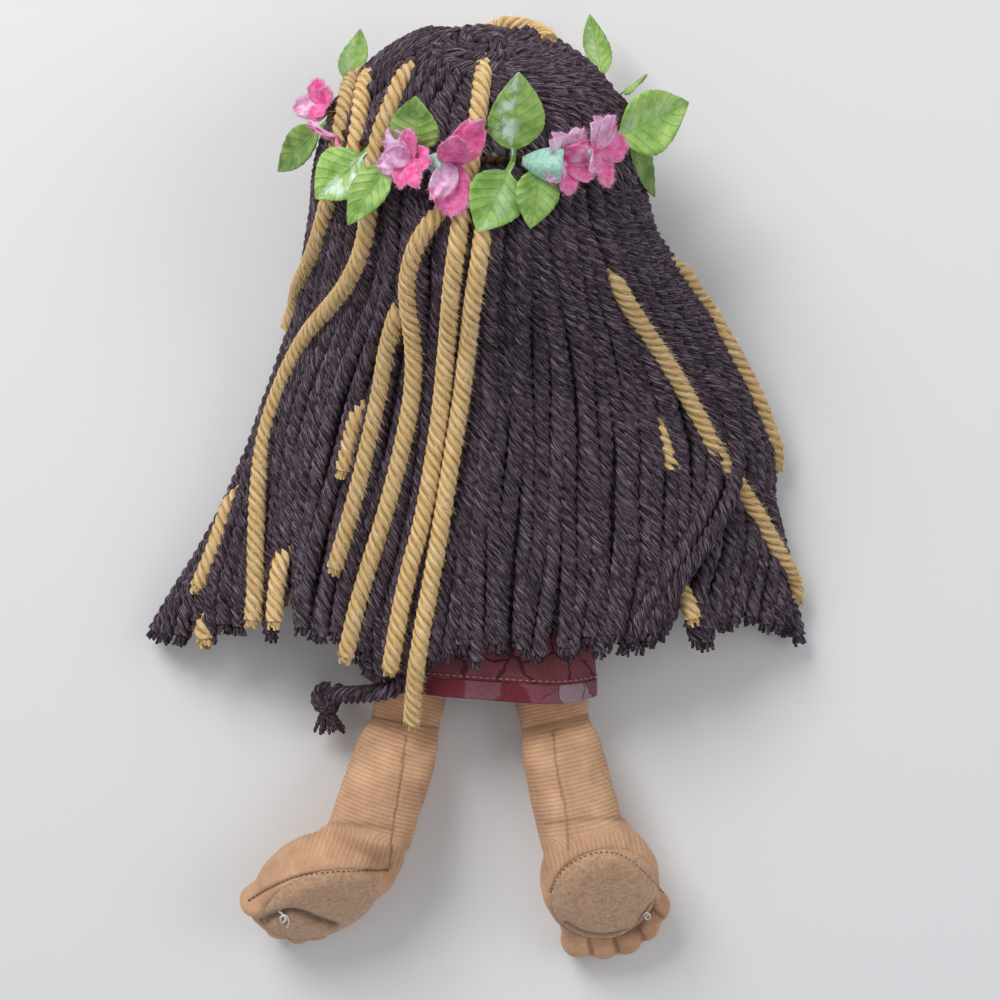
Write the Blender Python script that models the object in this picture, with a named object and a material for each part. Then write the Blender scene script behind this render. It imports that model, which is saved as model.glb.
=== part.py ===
"""Rag doll lying on its front: stuffed body, straight dress, yarn hair and a blossom crown.

The frame is in metres. +Z points up from the table, out of the doll's back, +Y points to its
head, and the origin is the middle of the doll's footprint on the table.
"""

import math

import bmesh
import bpy
from mathutils import Vector

MM = 0.001

# Gaps and seams
CLEARANCE = 0.3 * MM
FLAT_CUT = 0.5 * MM
SEAM_EDGE = 0.3 * MM
SEAM_GAP = 0.4 * MM
CUTTER_OVERRUN = 60.0 * MM

# Head and neck
HEAD_WIDTH = 88.0 * MM
HEAD_LENGTH = 92.0 * MM
HEAD_DEPTH = 81.0 * MM
NECK_LENGTH = 15.0 * MM
NECK_WIDTH = 26.0 * MM
NECK_DEPTH = 17.0 * MM
NECK_TO_HEAD_CENTRE = 47.0 * MM
EYE_SPACING = 30.0 * MM
EYE_WIDTH = 7.0 * MM
EYE_HEIGHT = 8.0 * MM
EYE_OFFSET = 4.0 * MM
MOUTH_WIDTH = 14.0 * MM
MOUTH_HEIGHT = 3.6 * MM
MOUTH_OFFSET = 17.0 * MM
FEATURE_THICKNESS = 0.8 * MM

# Torso
HIP_PLACE = -33.0 * MM
TORSO_LENGTH = 81.0 * MM
TORSO_WIDTH = 69.0 * MM
TORSO_DEPTH = 35.0 * MM
SHOULDER_WIDTH = 66.0 * MM

# Arms
ARM_LENGTH = 92.0 * MM
ARM_THICKNESS = 19.0 * MM
ARM_BELOW_TORSO_TOP = 12.0 * MM
ARM_TILT = math.radians(25.0)
HAND_WIDTH = 20.0 * MM
THUMB_LENGTH = 15.0 * MM
THUMB_THICKNESS = 8.0 * MM

# Legs
HIP_SPACING = 36.0 * MM
KNEE_SPACING = 48.5 * MM
THIGH_LENGTH = 40.0 * MM
THIGH_WIDTH = 25.0 * MM
THIGH_DEPTH = 24.0 * MM
KNEE_SEAM_WIDTH = 22.5 * MM
KNEE_HEIGHT = 13.4 * MM
SHIN_WIDTH = 27.0 * MM
SHIN_DEPTH = 25.0 * MM
SHIN_LENGTH = 37.0 * MM
ANKLE_HEIGHT = 25.0 * MM
HIP_WEDGE = math.radians(40.0)
KNEE_WEDGE = math.radians(50.0)
LEG_SWELL_LENGTH = 9.0 * MM

# Feet
FOOT_LENGTH = 48.0 * MM
FOOT_WIDTH = 38.5 * MM
FOOT_DEPTH = 32.0 * MM
SOLE_SETBACK = 6.0 * MM
SOLE_LENGTH = 43.0 * MM
SOLE_WIDTH = 35.0 * MM
LEFT_SOLE_BELOW_KNEE = 57.0 * MM
RIGHT_SOLE_BELOW_KNEE = 53.5 * MM
LEFT_SOLE_OUTWARD = 26.5 * MM
RIGHT_SOLE_OUTWARD = 15.5 * MM
LEFT_SOLE_HEIGHT = 24.6 * MM
RIGHT_SOLE_HEIGHT = 27.5 * MM
SOLE_EDGE = 0.8 * MM
SOLE_CROWN = 3.2 * MM
TOE_REACH = 17.1 * MM
TOE_LENGTH = 13.2 * MM
TOE_WIDTH = 8.6 * MM
BIG_TOE_WIDTH = 10.4 * MM
TOE_DEPTH = 13.4 * MM
TOE_SPLAY = math.radians(34.0)
TOE_STEP_SHARE = 0.72

# Dress
CLOTH = 1.0 * MM
DRESS_EASE = 0.4 * MM
SKIRT_WIDTH = 74.0 * MM
SKIRT_TOP = 8.0 * MM
SKIRT_LENGTH = 69.0 * MM
SKIRT_HEM_DEPTH = 31.5 * MM
HEM_BAND = 6.0 * MM
HEM_SLANT = 6.0 * MM
FOLD_HEIGHT = 0.8 * MM
FOLDS = 7
SKIRT_SIDES = 40
BODICE_OVERLAP = 4.0 * MM
NECKLINE_DROP = 1.5 * MM
SKIRT_TAPER_SHARE = 0.4
ARMHOLE_RADIUS = 11.5 * MM

# Hair
YARN = 5.2 * MM
STUB_LENGTH = 25.0 * MM
HAIR_TOP_PAD = 7.0 * MM
HAIR_END = -51.0 * MM
HAIR_END_RISE = 7.0 * MM
NAPE = 54.0 * MM
CURTAIN_THICKNESS = 5.0 * MM
CURTAIN_EDGE = 6.0 * MM
NAPE_HINGE_HEIGHT = 58.0 * MM
LOOSE_END_SLOPE_SHARE = 0.62
LOOSE_END_FLOOR = 26.0 * MM

# Crown
BAND_THICKNESS = 2.4 * MM
LEAF_LENGTH = 26.0 * MM
LEAF_WIDTH = 14.0 * MM
LEAF_THICKNESS = 0.7 * MM
FLOWER_RADIUS = 9.5 * MM
FLOWER_DEPTH = 7.0 * MM
PETAL_THICKNESS = 0.8 * MM
STEM_THICKNESS = 1.2 * MM
LEAF_FOLD_SHARE = 0.22
BAND_BACK_REACH = 6.0 * MM
BAND_TILT_RISE = 46.0 * MM

# Camera of the photograph, which the strands' routes are read from
PHOTO_MIDDLE_PX = 500.0
PHOTO_FOCAL_PX = 2740.0
CAMERA_HEIGHT = 900.0 * MM
CAMERA_X = 6.45 * MM
CAMERA_Y = -0.95 * MM

# Places that follow from the sizes above
HEAD_HEIGHT = HEAD_DEPTH / 2 - FLAT_CUT
TORSO_HEIGHT = TORSO_DEPTH / 2 + DRESS_EASE + CLOTH - FLAT_CUT
TORSO_TOP = HIP_PLACE + TORSO_LENGTH
HEAD_PLACE = TORSO_TOP + NECK_TO_HEAD_CENTRE
SHOULDER_PLACE = TORSO_TOP - ARM_BELOW_TORSO_TOP
KNEE_PLACE = HIP_PLACE - THIGH_LENGTH
HAIR_TOP_REACH = HEAD_LENGTH / 2 + HAIR_TOP_PAD
LEFT, RIGHT = -1.0, 1.0

# How the two legs lie: turns of the knee seams, directions, and places of the soles
KNEE_SEAM_TILT = {LEFT: math.radians(-9.6), RIGHT: math.radians(13.0)}
SHIN_DIRECTION = {LEFT: (-0.30, -0.95, 0.0), RIGHT: (0.23, -0.97, 0.0)}
TOE_DIRECTION = {LEFT: (-0.70, -0.55, -0.46), RIGHT: (0.25, -0.72, -0.64)}
SOLE_DIRECTION = {LEFT: (0.20, -0.75, 0.62), RIGHT: (0.21, -0.60, 0.77)}
SOLE_BELOW_KNEE = {LEFT: LEFT_SOLE_BELOW_KNEE, RIGHT: RIGHT_SOLE_BELOW_KNEE}
SOLE_OUTWARD = {LEFT: LEFT_SOLE_OUTWARD, RIGHT: RIGHT_SOLE_OUTWARD}
SOLE_HEIGHT = {LEFT: LEFT_SOLE_HEIGHT, RIGHT: RIGHT_SOLE_HEIGHT}

# Hair outline from its lower end to the middle of the head: place, left and right half-width,
# top height, edge height and how far it wraps, all as shares
HAIR_SPREAD = 107.0 * MM
HAIR_HEIGHT = 86.5 * MM
HAIR_SHARES = (
    (0.000, 1.030, 0.990, 0.466, 0.058, 1.00),
    (0.048, 1.000, 0.977, 0.480, 0.058, 1.00),
    (0.129, 0.935, 0.953, 0.500, 0.058, 1.00),
    (0.218, 0.860, 0.935, 0.523, 0.058, 1.00),
    (0.347, 0.766, 0.888, 0.558, 0.058, 1.00),
    (0.456, 0.700, 0.892, 0.593, 0.058, 1.00),
    (0.565, 0.650, 0.850, 0.640, 0.060, 1.00),
    (0.667, 0.598, 0.785, 0.725, 0.070, 1.00),
    (0.762, 0.547, 0.682, 0.862, 0.105, 1.03),
    (0.850, 0.519, 0.589, 0.957, 0.174, 1.12),
    (0.912, 0.500, 0.520, 0.985, 0.233, 1.20),
    (1.000, 0.477, 0.477, 1.000, 0.279, 1.28),
)
CROWN_WRAP_SHARE = 0.44
HAIR_HEAD_MIDDLE_SHARE = 0.488
CURTAIN_PEAK_SHARE = 0.85
CAP_THICKNESS = 3.2 * MM
CAP_SIDE_THICKNESS = 5.2 * MM
HEAD_EASE = 1.6 * MM
LOCK_SPLIT_SHARE = 0.38
LOCK_GAP_SHARE = 0.004

# Routes of the gold strands and of the tail, as pixel coordinates of the photograph
GOLD_ROUTES_PX = {
    "01": (
        (362, 60), (354, 92), (347, 130), (340, 172), (331, 214), (321, 249), (309, 277), (298, 303),
    ),
    "02": (
        (409, 64), (395, 100), (386, 118), (380, 136), (375, 158), (370, 190), (365, 249),
        (352, 279), (334, 305), (312, 333), (294, 366), (280, 395), (270, 430), (263, 467),
        (259, 510), (257, 553), (256, 591), (254, 616),
    ),
    "03": (
        (440, 207), (419, 233), (409, 262), (409, 292), (413, 320), (415, 350), (414, 387), (409, 420),
        (398, 470), (386, 515), (371, 563), (357, 611), (348, 651),
    ),
    "04": (
        (396, 318), (388, 350), (382, 387), (374, 430), (363, 477), (350, 515), (338, 550),
    ),
    "05": (
        (484, 57), (480, 95), (475, 131), (470, 172), (462, 209), (457, 250), (452, 292), (448, 340),
        (443, 403), (436, 450), (424, 515), (411, 560), (401, 600), (392, 655),
    ),
    "06": (
        (484, 226), (478, 260), (472, 300), (468, 340), (462, 390), (456, 430), (448, 480), (441, 525),
        (432, 575), (423, 620), (416, 665), (412, 700), (412, 721),
    ),
    "07": (
        (611, 271), (620, 292), (633, 312), (647, 332), (660, 352), (672, 372), (686, 394), (700, 419),
        (714, 447), (728, 468), (743, 496), (759, 521), (773, 547), (789, 573), (799, 595),
    ),
    "08": (
        (667, 259), (677, 277), (691, 296), (708, 313), (723, 334), (740, 361), (757, 395), (769, 428),
        (778, 452),
    ),
    "09": ((661, 421), (668, 444), (674, 467)),
    "10": ((235, 494), (225, 525), (215, 553), (207, 580), (202, 604)),
    "11": ((500, 34), (522, 42), (545, 54)),
}
TAIL_ROUTE = (
    (-25.6 * MM, -59.6 * MM, 30.4 * MM),
    (-28.6 * MM, -61.4 * MM, 29.4 * MM),
    (-32.5 * MM, -62.6 * MM, 27.0 * MM),
    (-38.0 * MM, -63.6 * MM, 20.8 * MM),
    (-42.6 * MM, -64.0 * MM, 14.2 * MM),
)
TAIL_KNOT_WIDTH = 9.0 * MM
TAIL_TUFT_LENGTH = 9.0 * MM

# Crown pieces: turn round the band and swing on it in degrees, lean off the hair in degrees,
# length and width as shares of a leaf
LEAVES = {
    "leaf_01": (-106, -51, 12, 0.70, 0.85),
    "leaf_02": (-70, -138, 20, 1.15, 0.70),
    "leaf_03": (-42, -150, 31, 0.75, 0.82),
    "leaf_04": (-29, -148, 44, 0.95, 0.58),
    "leaf_05": (-20, 7, 4, 0.75, 0.90),
    "leaf_06": (11, 1, 10, 1.15, 1.10),
    "leaf_07": (15, -146, 14, 0.82, 1.15),
    "leaf_08": (23, -178, 13, 0.65, 0.66),
    "leaf_09": (110, 75, 4, 1.30, 0.60),
    "leaf_10": (50, 63, 24, 0.95, 1.30),
    "leaf_11": (103, -39, 46, 0.32, 0.40),
    "leaf_12": (62, 159, 10, 1.05, 0.75),
}

# Flowers: turn round the band, swing and lean of their axis in degrees, size as a share
FLOWERS = {
    "flower_01": (-86, -30, 60, 0.50),
    "flower_02": (-49, 20, 84, 0.33),
    "flower_03": (-24, -40, 68, 0.62),
    "flower_04": (-12, 30, 77, 0.64),
    "flower_05": (27, 60, 78, 0.76),
    "flower_06": (39, 50, 60, 0.60),
    "flower_07": (86, 150, 30, 0.42),
    "flower_08": (70, 170, 50, 0.45),
}

BODIES = {}


def make_material(name, colour, roughness):
    """A plain material in the piece's own colour."""
    material = bpy.data.materials.new(name)
    material.use_nodes = True
    shader = material.node_tree.nodes["Principled BSDF"]
    shader.inputs["Base Color"].default_value = (*colour, 1.0)
    shader.inputs["Roughness"].default_value = roughness
    shader.inputs["Metallic"].default_value = 0.0
    return material


def make_body(name, place, parent=None):
    """An empty on a body's joint, which carries the body's pieces."""
    empty = bpy.data.objects.new(name + "_body", None)
    bpy.context.scene.collection.objects.link(empty)
    if parent:
        empty.parent = BODIES[parent]
        empty.location = place - world_place(BODIES[parent])
    else:
        empty.location = place
    BODIES[name] = empty
    return empty


def world_place(empty):
    """Where an unturned empty stands, before the doll is moved onto its origin."""
    place = empty.location.copy()
    while empty.parent:
        empty = empty.parent
        place += empty.location
    return place


def add_piece(name, points, faces, body, material=None, flat=False, cutter=False):
    """A closed piece from points in the doll's frame, kept with its body."""
    shape = bmesh.new()
    verts = [shape.verts.new(point) for point in points]
    for face in faces:
        shape.faces.new([verts[i] for i in face])
    bmesh.ops.recalc_face_normals(shape, faces=shape.faces)
    if flat:
        cut_flat(shape)
    origin = world_place(BODIES[body])
    bmesh.ops.translate(shape, verts=shape.verts, vec=-origin)
    mesh = bpy.data.meshes.new(name)
    shape.to_mesh(mesh)
    shape.free()
    mesh.shade_smooth()
    mesh.set_sharp_from_angle(angle=math.radians(50.0))
    piece = bpy.data.objects.new(name, mesh)
    bpy.context.scene.collection.objects.link(piece)
    piece.parent = BODIES[body]
    if material:
        mesh.materials.append(material)
    if cutter:
        piece.hide_render = True
        piece.display_type = "WIRE"
    return piece


def cut_flat(shape):
    """Takes off what lies below the table and closes the cut with a flat face."""
    everything = list(shape.verts) + list(shape.edges) + list(shape.faces)
    cut = bmesh.ops.bisect_plane(
        shape, geom=everything, plane_co=(0, 0, 0), plane_no=(0, 0, -1), clear_outer=True
    )
    rim = [part for part in cut["geom_cut"] if isinstance(part, bmesh.types.BMEdge)]
    if rim:
        bmesh.ops.holes_fill(shape, edges=rim, sides=0)
        bmesh.ops.recalc_face_normals(shape, faces=shape.faces)


def add_boolean(piece, other, operation):
    """A union with a second shape, or a cut by it."""
    modifier = piece.modifiers.new(other.name, "BOOLEAN")
    modifier.operation = operation
    modifier.solver = "EXACT"
    modifier.object = other


def stack_rings(rings):
    """Points and faces of a closed solid through rings of as many points each."""
    points = [point for ring in rings for point in ring]
    sides = len(rings[0])
    faces = []
    for row in range(len(rings) - 1):
        for i in range(sides):
            j = (i + 1) % sides
            faces.append((row * sides + i, row * sides + j, (row + 1) * sides + j, (row + 1) * sides + i))
    faces.append(tuple(range(sides)))
    faces.append(tuple(reversed(range(len(points) - sides, len(points)))))
    return points, faces


def ellipse(middle, across, up, half_width, half_depth, sides):
    """Points round an ellipse that stands on two directions."""
    ring = []
    for i in range(sides):
        angle = 2 * math.pi * i / sides
        ring.append(middle + across * (half_width * math.cos(angle)) + up * (half_depth * math.sin(angle)))
    return ring


def ellipsoid(middle, axes, half_sizes, rows, sides):
    """Points and faces of an egg on three directions, with its poles on the first."""
    along, across, up = axes
    rings = []
    for row in range(1, rows):
        angle = math.pi * row / rows
        centre = middle - along * (half_sizes[0] * math.cos(angle))
        round_share = math.sin(angle)
        half_width, half_depth = half_sizes[1] * round_share, half_sizes[2] * round_share
        rings.append(ellipse(centre, across, up, half_width, half_depth, sides))
    points, faces = stack_rings(rings)
    faces = faces[:-2]
    points = points + [middle - along * half_sizes[0], middle + along * half_sizes[0]]
    first, last = len(points) - 2, len(points) - 1
    for i in range(sides):
        j = (i + 1) % sides
        faces.append((first, j, i))
        faces.append((last, last - 1 - sides + i, last - 1 - sides + j))
    return points, faces


def add_tube(name, route, thickness, body, material, sides=6):
    """A plain round cord through points, with flat ends."""
    curve = bpy.data.curves.new(name, "CURVE")
    curve.dimensions = "3D"
    curve.bevel_depth = thickness / 2
    curve.bevel_resolution = sides // 2 - 2
    curve.use_fill_caps = True
    origin = world_place(BODIES[body])
    spline = curve.splines.new("POLY")
    spline.points.add(len(route) - 1)
    for point, place in zip(spline.points, route):
        point.co = (*(place - origin), 1.0)
    cord = bpy.data.objects.new(name, curve)
    bpy.context.scene.collection.objects.link(cord)
    cord.parent = BODIES[body]
    curve.materials.append(material)
    return cord


X, Y, Z = Vector((1, 0, 0)), Vector((0, 1, 0)), Vector((0, 0, 1))


def swell(distance, wedge, full):
    """Half-depth of a stuffed limb at a distance from its flat seam."""
    return full * math.tanh((SEAM_EDGE + distance * math.tan(wedge)) / full)


def side_name(side):
    """left or right, as the doll's own sides are called."""
    return "left" if side == LEFT else "right"


def knee_frame(side):
    """The knee's middle, the direction of its seam and the direction of the leg there."""
    middle = Vector((side * KNEE_SPACING / 2, KNEE_PLACE, KNEE_HEIGHT))
    tilt = KNEE_SEAM_TILT[side]
    seam = Vector((math.cos(tilt), math.sin(tilt), 0))
    return middle, seam, Vector((math.sin(tilt), -math.cos(tilt), 0))


def hip_middle(side):
    return Vector((side * HIP_SPACING / 2, HIP_PLACE - SEAM_GAP, TORSO_HEIGHT))


def make_head(cloth, thread):
    """A plain stuffed head, face down, with an embroidered face."""
    middle = Vector((0, HEAD_PLACE, HEAD_HEIGHT))
    half_sizes = (HEAD_LENGTH / 2, HEAD_WIDTH / 2, HEAD_DEPTH / 2)
    points, faces = ellipsoid(middle, (Y, X, Z), half_sizes, 14, 22)
    add_piece("head", points, faces, "head", cloth, flat=True)
    grown = [half + CLEARANCE for half in half_sizes]
    points, faces = ellipsoid(middle, (Y, X, Z), grown, 14, 22)
    head_cutter = add_piece("head_cutter", points, faces, "head", cutter=True)
    for side in (LEFT, RIGHT):
        place = (side * EYE_SPACING / 2, EYE_OFFSET)
        size = (EYE_WIDTH, EYE_HEIGHT)
        add_feature("eye_" + side_name(side), place, size, thread["eye"], middle, half_sizes)
    place = (0, -MOUTH_OFFSET)
    add_feature("mouth", place, (MOUTH_WIDTH, MOUTH_HEIGHT), thread["mouth"], middle, half_sizes)
    return head_cutter


def add_feature(name, place, size, material, middle, half_sizes):
    """A thin stitched patch that lies just off the face."""
    share = (place[1] / half_sizes[0]) ** 2 + (place[0] / half_sizes[1]) ** 2
    depth = half_sizes[2] * math.sqrt(1 - share)
    slopes = (place[0] / half_sizes[1] ** 2, place[1] / half_sizes[0] ** 2, -depth / half_sizes[2] ** 2)
    outward = Vector(slopes).normalized()
    across = Y.cross(outward).normalized()
    up = outward.cross(across)
    surface = middle + Vector((place[0], place[1], -depth))
    rings = []
    for height, width_share in ((0, 1.0), (FEATURE_THICKNESS, 0.8)):
        centre = surface + outward * (CLEARANCE * 1.5 + height)
        half_width, half_height = size[0] / 2 * width_share, size[1] / 2 * width_share
        rings.append(ellipse(centre, across, up, half_width, half_height, 12))
    points, faces = stack_rings(rings)
    add_piece(name, points, faces, "head", material)


# Torso rings from hips to neck: place along it, half-width and half-depth as shares
TORSO_SHARES = (
    (0.00, 0.90, 0.00), (0.05, 0.93, 0.00), (0.12, 0.96, 0.00), (0.22, 0.97, 0.00), (0.34, 0.93, 0.97),
    (0.46, 0.86, 0.90), (0.58, 0.84, 0.88), (0.70, 0.90, 0.93), (0.78, 1.00, 0.88), (0.86, 1.04, 0.78),
    (0.93, 0.98, 0.66), (0.97, 0.80, 0.58), (1.00, 0.52, 0.52),
)


def torso_rings(offset, low, high, sides):
    """Rings round the torso, grown by an offset, between two places along it."""
    rings = []
    for place_share, width_share, depth_share in TORSO_SHARES:
        place = HIP_PLACE + TORSO_LENGTH * place_share
        if place < low or place > high:
            continue
        half_depth = TORSO_DEPTH / 2 * depth_share
        if not depth_share:
            half_depth = swell(place - HIP_PLACE, HIP_WEDGE, TORSO_DEPTH / 2)
        half_width = TORSO_WIDTH / 2 * width_share
        centre = Vector((0, place, TORSO_HEIGHT))
        rings.append(ellipse(centre, X, Z, half_width + offset, half_depth + offset, sides))
    return rings


def make_torso(cloth):
    """A stuffed torso that tapers to the flat hip seam, with flat sides at the shoulders."""
    points, faces = stack_rings(torso_rings(0, HIP_PLACE, TORSO_TOP, 20))
    torso = add_piece("torso", points, faces, "torso", cloth)
    for side in (LEFT, RIGHT):
        inner = side * SHOULDER_WIDTH / 2
        cutter = add_box("shoulder_cutter_" + side_name(side), inner, inner + side * CUTTER_OVERRUN)
        add_boolean(torso, cutter, "DIFFERENCE")


def add_box(name, x_from, x_to):
    """A box beside the doll's shoulder, used to cut it flat."""
    points = []
    for x in (x_from, x_to):
        for y in (SHOULDER_PLACE - CUTTER_OVERRUN, SHOULDER_PLACE + CUTTER_OVERRUN):
            for z in (TORSO_HEIGHT - CUTTER_OVERRUN, TORSO_HEIGHT + CUTTER_OVERRUN):
                points.append(Vector((x, y, z)))
    faces = ((0, 1, 3, 2), (4, 5, 7, 6), (0, 1, 5, 4), (2, 3, 7, 6), (0, 2, 6, 4), (1, 3, 7, 5))
    return add_piece(name, points, faces, "torso", cutter=True)


def make_neck(cloth, head_cutter):
    """A short soft neck between the torso's top and the head."""
    rings = []
    for place_share, rise_share in ((0.0, 0.0), (0.5, 0.5), (1.0, 1.0)):
        centre = Vector((0, TORSO_TOP + CLEARANCE + NECK_LENGTH * place_share, TORSO_HEIGHT))
        centre.z += NECK_DEPTH / 2 * rise_share
        rings.append(ellipse(centre, X, Z, NECK_WIDTH / 2, NECK_DEPTH / 2, 16))
    points, faces = stack_rings(rings)
    neck = add_piece("neck", points, faces, "torso", cloth)
    add_boolean(neck, head_cutter, "DIFFERENCE")


# Arm rings from shoulder to fingertips: length along the arm, turn from the shoulder's face
# towards the arm's own line, half-width, half-depth and height, as shares
ARM_SHARES = (
    (0.00, 0.00, 0.79, 0.79, 1.00), (0.07, 0.42, 0.90, 0.88, 0.96), (0.15, 0.75, 0.97, 0.95, 0.88),
    (0.25, 1.00, 1.00, 1.00, 0.76), (0.45, 1.00, 0.97, 1.00, 0.66), (0.65, 1.00, 0.86, 0.90, 0.60),
    (0.76, 1.00, 0.78, 0.78, 0.56), (0.84, 1.00, 0.98, 0.74, 0.54), (0.92, 1.00, 1.04, 0.70, 0.52),
    (0.97, 1.00, 0.84, 0.56, 0.50), (1.00, 1.00, 0.40, 0.30, 0.49),
)


def make_arm(side, cloth):
    """A stuffed arm with a mitten hand and a thumb, sewn flat against the shoulder."""
    middle = Vector((side * (SHOULDER_WIDTH / 2 + CLEARANCE), SHOULDER_PLACE, 0))
    rings = []
    last_share = 0.0
    for length_share, turn_share, width_share, depth_share, height_share in ARM_SHARES:
        turn = (math.pi / 2 - ARM_TILT) * turn_share
        along = Vector((side * math.cos(turn), -math.sin(turn), 0))
        middle = middle + along * (ARM_LENGTH * (length_share - last_share))
        last_share = length_share
        middle.z = TORSO_HEIGHT * height_share
        across = Vector((side * math.sin(turn), math.cos(turn), 0))
        half_width = ARM_THICKNESS / 2 * width_share
        rings.append(ellipse(middle.copy(), across, Z, half_width, ARM_THICKNESS / 2 * depth_share, 14))
    points, faces = stack_rings(rings)
    arm = add_piece("arm_" + side_name(side), points, faces, "arm_" + side_name(side), cloth)
    thumb_along = Vector((-side * math.sin(ARM_TILT), -math.cos(ARM_TILT), 0))
    thumb_across = Vector((math.cos(ARM_TILT), -side * math.sin(ARM_TILT), 0))
    along = Vector((side * math.sin(ARM_TILT), -math.cos(ARM_TILT), 0))
    thumb_middle = middle - along * (ARM_LENGTH / 6) - thumb_across * (side * HAND_WIDTH * 0.5)
    half_sizes = (THUMB_LENGTH / 2, THUMB_THICKNESS / 2, THUMB_THICKNESS / 2)
    points, faces = ellipsoid(thumb_middle, (thumb_along, thumb_across, Z), half_sizes, 7, 10)
    thumb = add_piece("thumb_" + side_name(side), points, faces, "arm_" + side_name(side), cutter=True)
    add_boolean(arm, thumb, "UNION")


def make_thigh(side, cloth):
    """The upper leg, from the flat hip seam to the flat knee seam."""
    start = hip_middle(side)
    start.y -= SEAM_GAP
    knee, seam, _ = knee_frame(side)
    end = knee + Vector((0, SEAM_GAP, 0))
    length = (start - end).length
    rings = []
    for share in (0, 0.06, 0.16, 0.3, 0.5, 0.68, 0.82, 0.93, 1.0):
        across = X.lerp(seam, share).normalized()
        depth = swell(length * share, HIP_WEDGE, THIGH_DEPTH / 2)
        depth *= swell(length * (1 - share), KNEE_WEDGE, THIGH_DEPTH / 2) / (THIGH_DEPTH / 2)
        taper = math.tanh(length * (1 - share) / LEG_SWELL_LENGTH)
        half_width = KNEE_SEAM_WIDTH / 2 + (THIGH_WIDTH - KNEE_SEAM_WIDTH) / 2 * taper
        rings.append(ellipse(start.lerp(end, share), across, Z, half_width, max(depth, SEAM_EDGE), 16))
    points, faces = stack_rings(rings)
    add_piece("thigh_" + side_name(side), points, faces, "thigh_" + side_name(side), cloth)


def foot_frame(side):
    """The middle of the sole, and the directions to the toes, across and out of the sole."""
    knee = knee_frame(side)[0]
    toes = Vector(TOE_DIRECTION[side]).normalized()
    out = Vector(SOLE_DIRECTION[side])
    out = (out - toes * out.dot(toes)).normalized()
    across = toes.cross(out)
    middle = knee + Vector((side * SOLE_OUTWARD[side], -SOLE_BELOW_KNEE[side], 0))
    middle.z = SOLE_HEIGHT[side]
    return middle, toes, across, out


def make_lower_leg(side, cloth):
    """Shin, foot and toes in one stuffed piece, flat where the sole panel is sewn on."""
    name = side_name(side)
    knee, seam, forward = knee_frame(side)
    sole, toes, across, out = foot_frame(side)
    start = knee + forward * SEAM_GAP
    ankle = knee + Vector(SHIN_DIRECTION[side]).normalized() * SHIN_LENGTH
    ankle.z = ANKLE_HEIGHT
    heel = sole - out * (SOLE_SETBACK + FOOT_DEPTH / 5) - toes * (FOOT_LENGTH / 8)
    length = (ankle - start).length
    rings = []
    for share in (0, 0.05, 0.14, 0.26, 0.42, 0.62, 0.82, 1.0):
        direction = forward.lerp((ankle - start).normalized(), share).normalized()
        ring_across = direction.cross(Z).normalized() * -1
        depth = swell(length * share, KNEE_WEDGE, SHIN_DEPTH / 2)
        taper = math.tanh(length * share / LEG_SWELL_LENGTH)
        half_width = KNEE_SEAM_WIDTH / 2 + (SHIN_WIDTH - KNEE_SEAM_WIDTH) / 2 * taper
        centre = start.lerp(ankle, share)
        rings.append(ellipse(centre, ring_across, Z, half_width, max(depth, SEAM_EDGE), 18))
    for share, size_share in ((0.45, 1.0), (0.8, 0.85), (1.0, 0.5)):
        centre = ankle.lerp(heel, share)
        half_width, half_depth = SHIN_WIDTH / 2 * size_share, SHIN_DEPTH / 2 * size_share
        rings.append(ellipse(centre, ring_across, Z, half_width, half_depth, 18))
    points, faces = stack_rings(rings)
    leg = add_piece("lower_leg_" + name, points, faces, "lower_leg_" + name, cloth)
    middle = sole - out * SOLE_SETBACK
    half_sizes = (FOOT_LENGTH / 2, FOOT_WIDTH / 2, FOOT_DEPTH / 2)
    points, faces = ellipsoid(middle, (toes, across, out), half_sizes, 12, 18)
    foot = add_piece("foot_" + name, points, faces, "lower_leg_" + name, cutter=True)
    add_boolean(leg, foot, "UNION")
    add_toes(leg, name, side, middle, toes, across, out)
    rings = []
    for height in (0, CUTTER_OVERRUN):
        rings.append(ellipse(sole + out * height, toes, across, FOOT_LENGTH, FOOT_LENGTH, 8))
    points, faces = stack_rings(rings)
    cutter = add_piece("sole_cutter_" + name, points, faces, "lower_leg_" + name, cutter=True)
    add_boolean(leg, cutter, "DIFFERENCE")


def add_toes(leg, name, side, middle, toes, across, out):
    """Five toes along the foot's front edge, the big one on the inner side."""
    inner = -side if across.x > 0 else side
    place = FOOT_WIDTH / 2 * 0.9 - BIG_TOE_WIDTH / 2
    for number in range(5):
        width = BIG_TOE_WIDTH if number == 0 else TOE_WIDTH
        sideways = inner * place
        reach = TOE_REACH * math.sqrt(max(0.0, 1 - (place / (FOOT_WIDTH * 0.6)) ** 2))
        centre = middle + toes * reach + across * sideways
        half_sizes = (TOE_LENGTH / 2, width / 2, TOE_DEPTH / 2)
        splay = TOE_SPLAY * sideways / (FOOT_WIDTH / 2)
        along = toes * math.cos(splay) + across * math.sin(splay)
        beside = across * math.cos(splay) - toes * math.sin(splay)
        points, faces = ellipsoid(centre, (along, beside, out), half_sizes, 7, 11)
        toe = add_piece(f"toe_{name}_{number + 1}", points, faces, "lower_leg_" + name, cutter=True)
        add_boolean(leg, toe, "UNION")
        place -= (width + TOE_WIDTH) / 2 * TOE_STEP_SHARE


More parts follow.
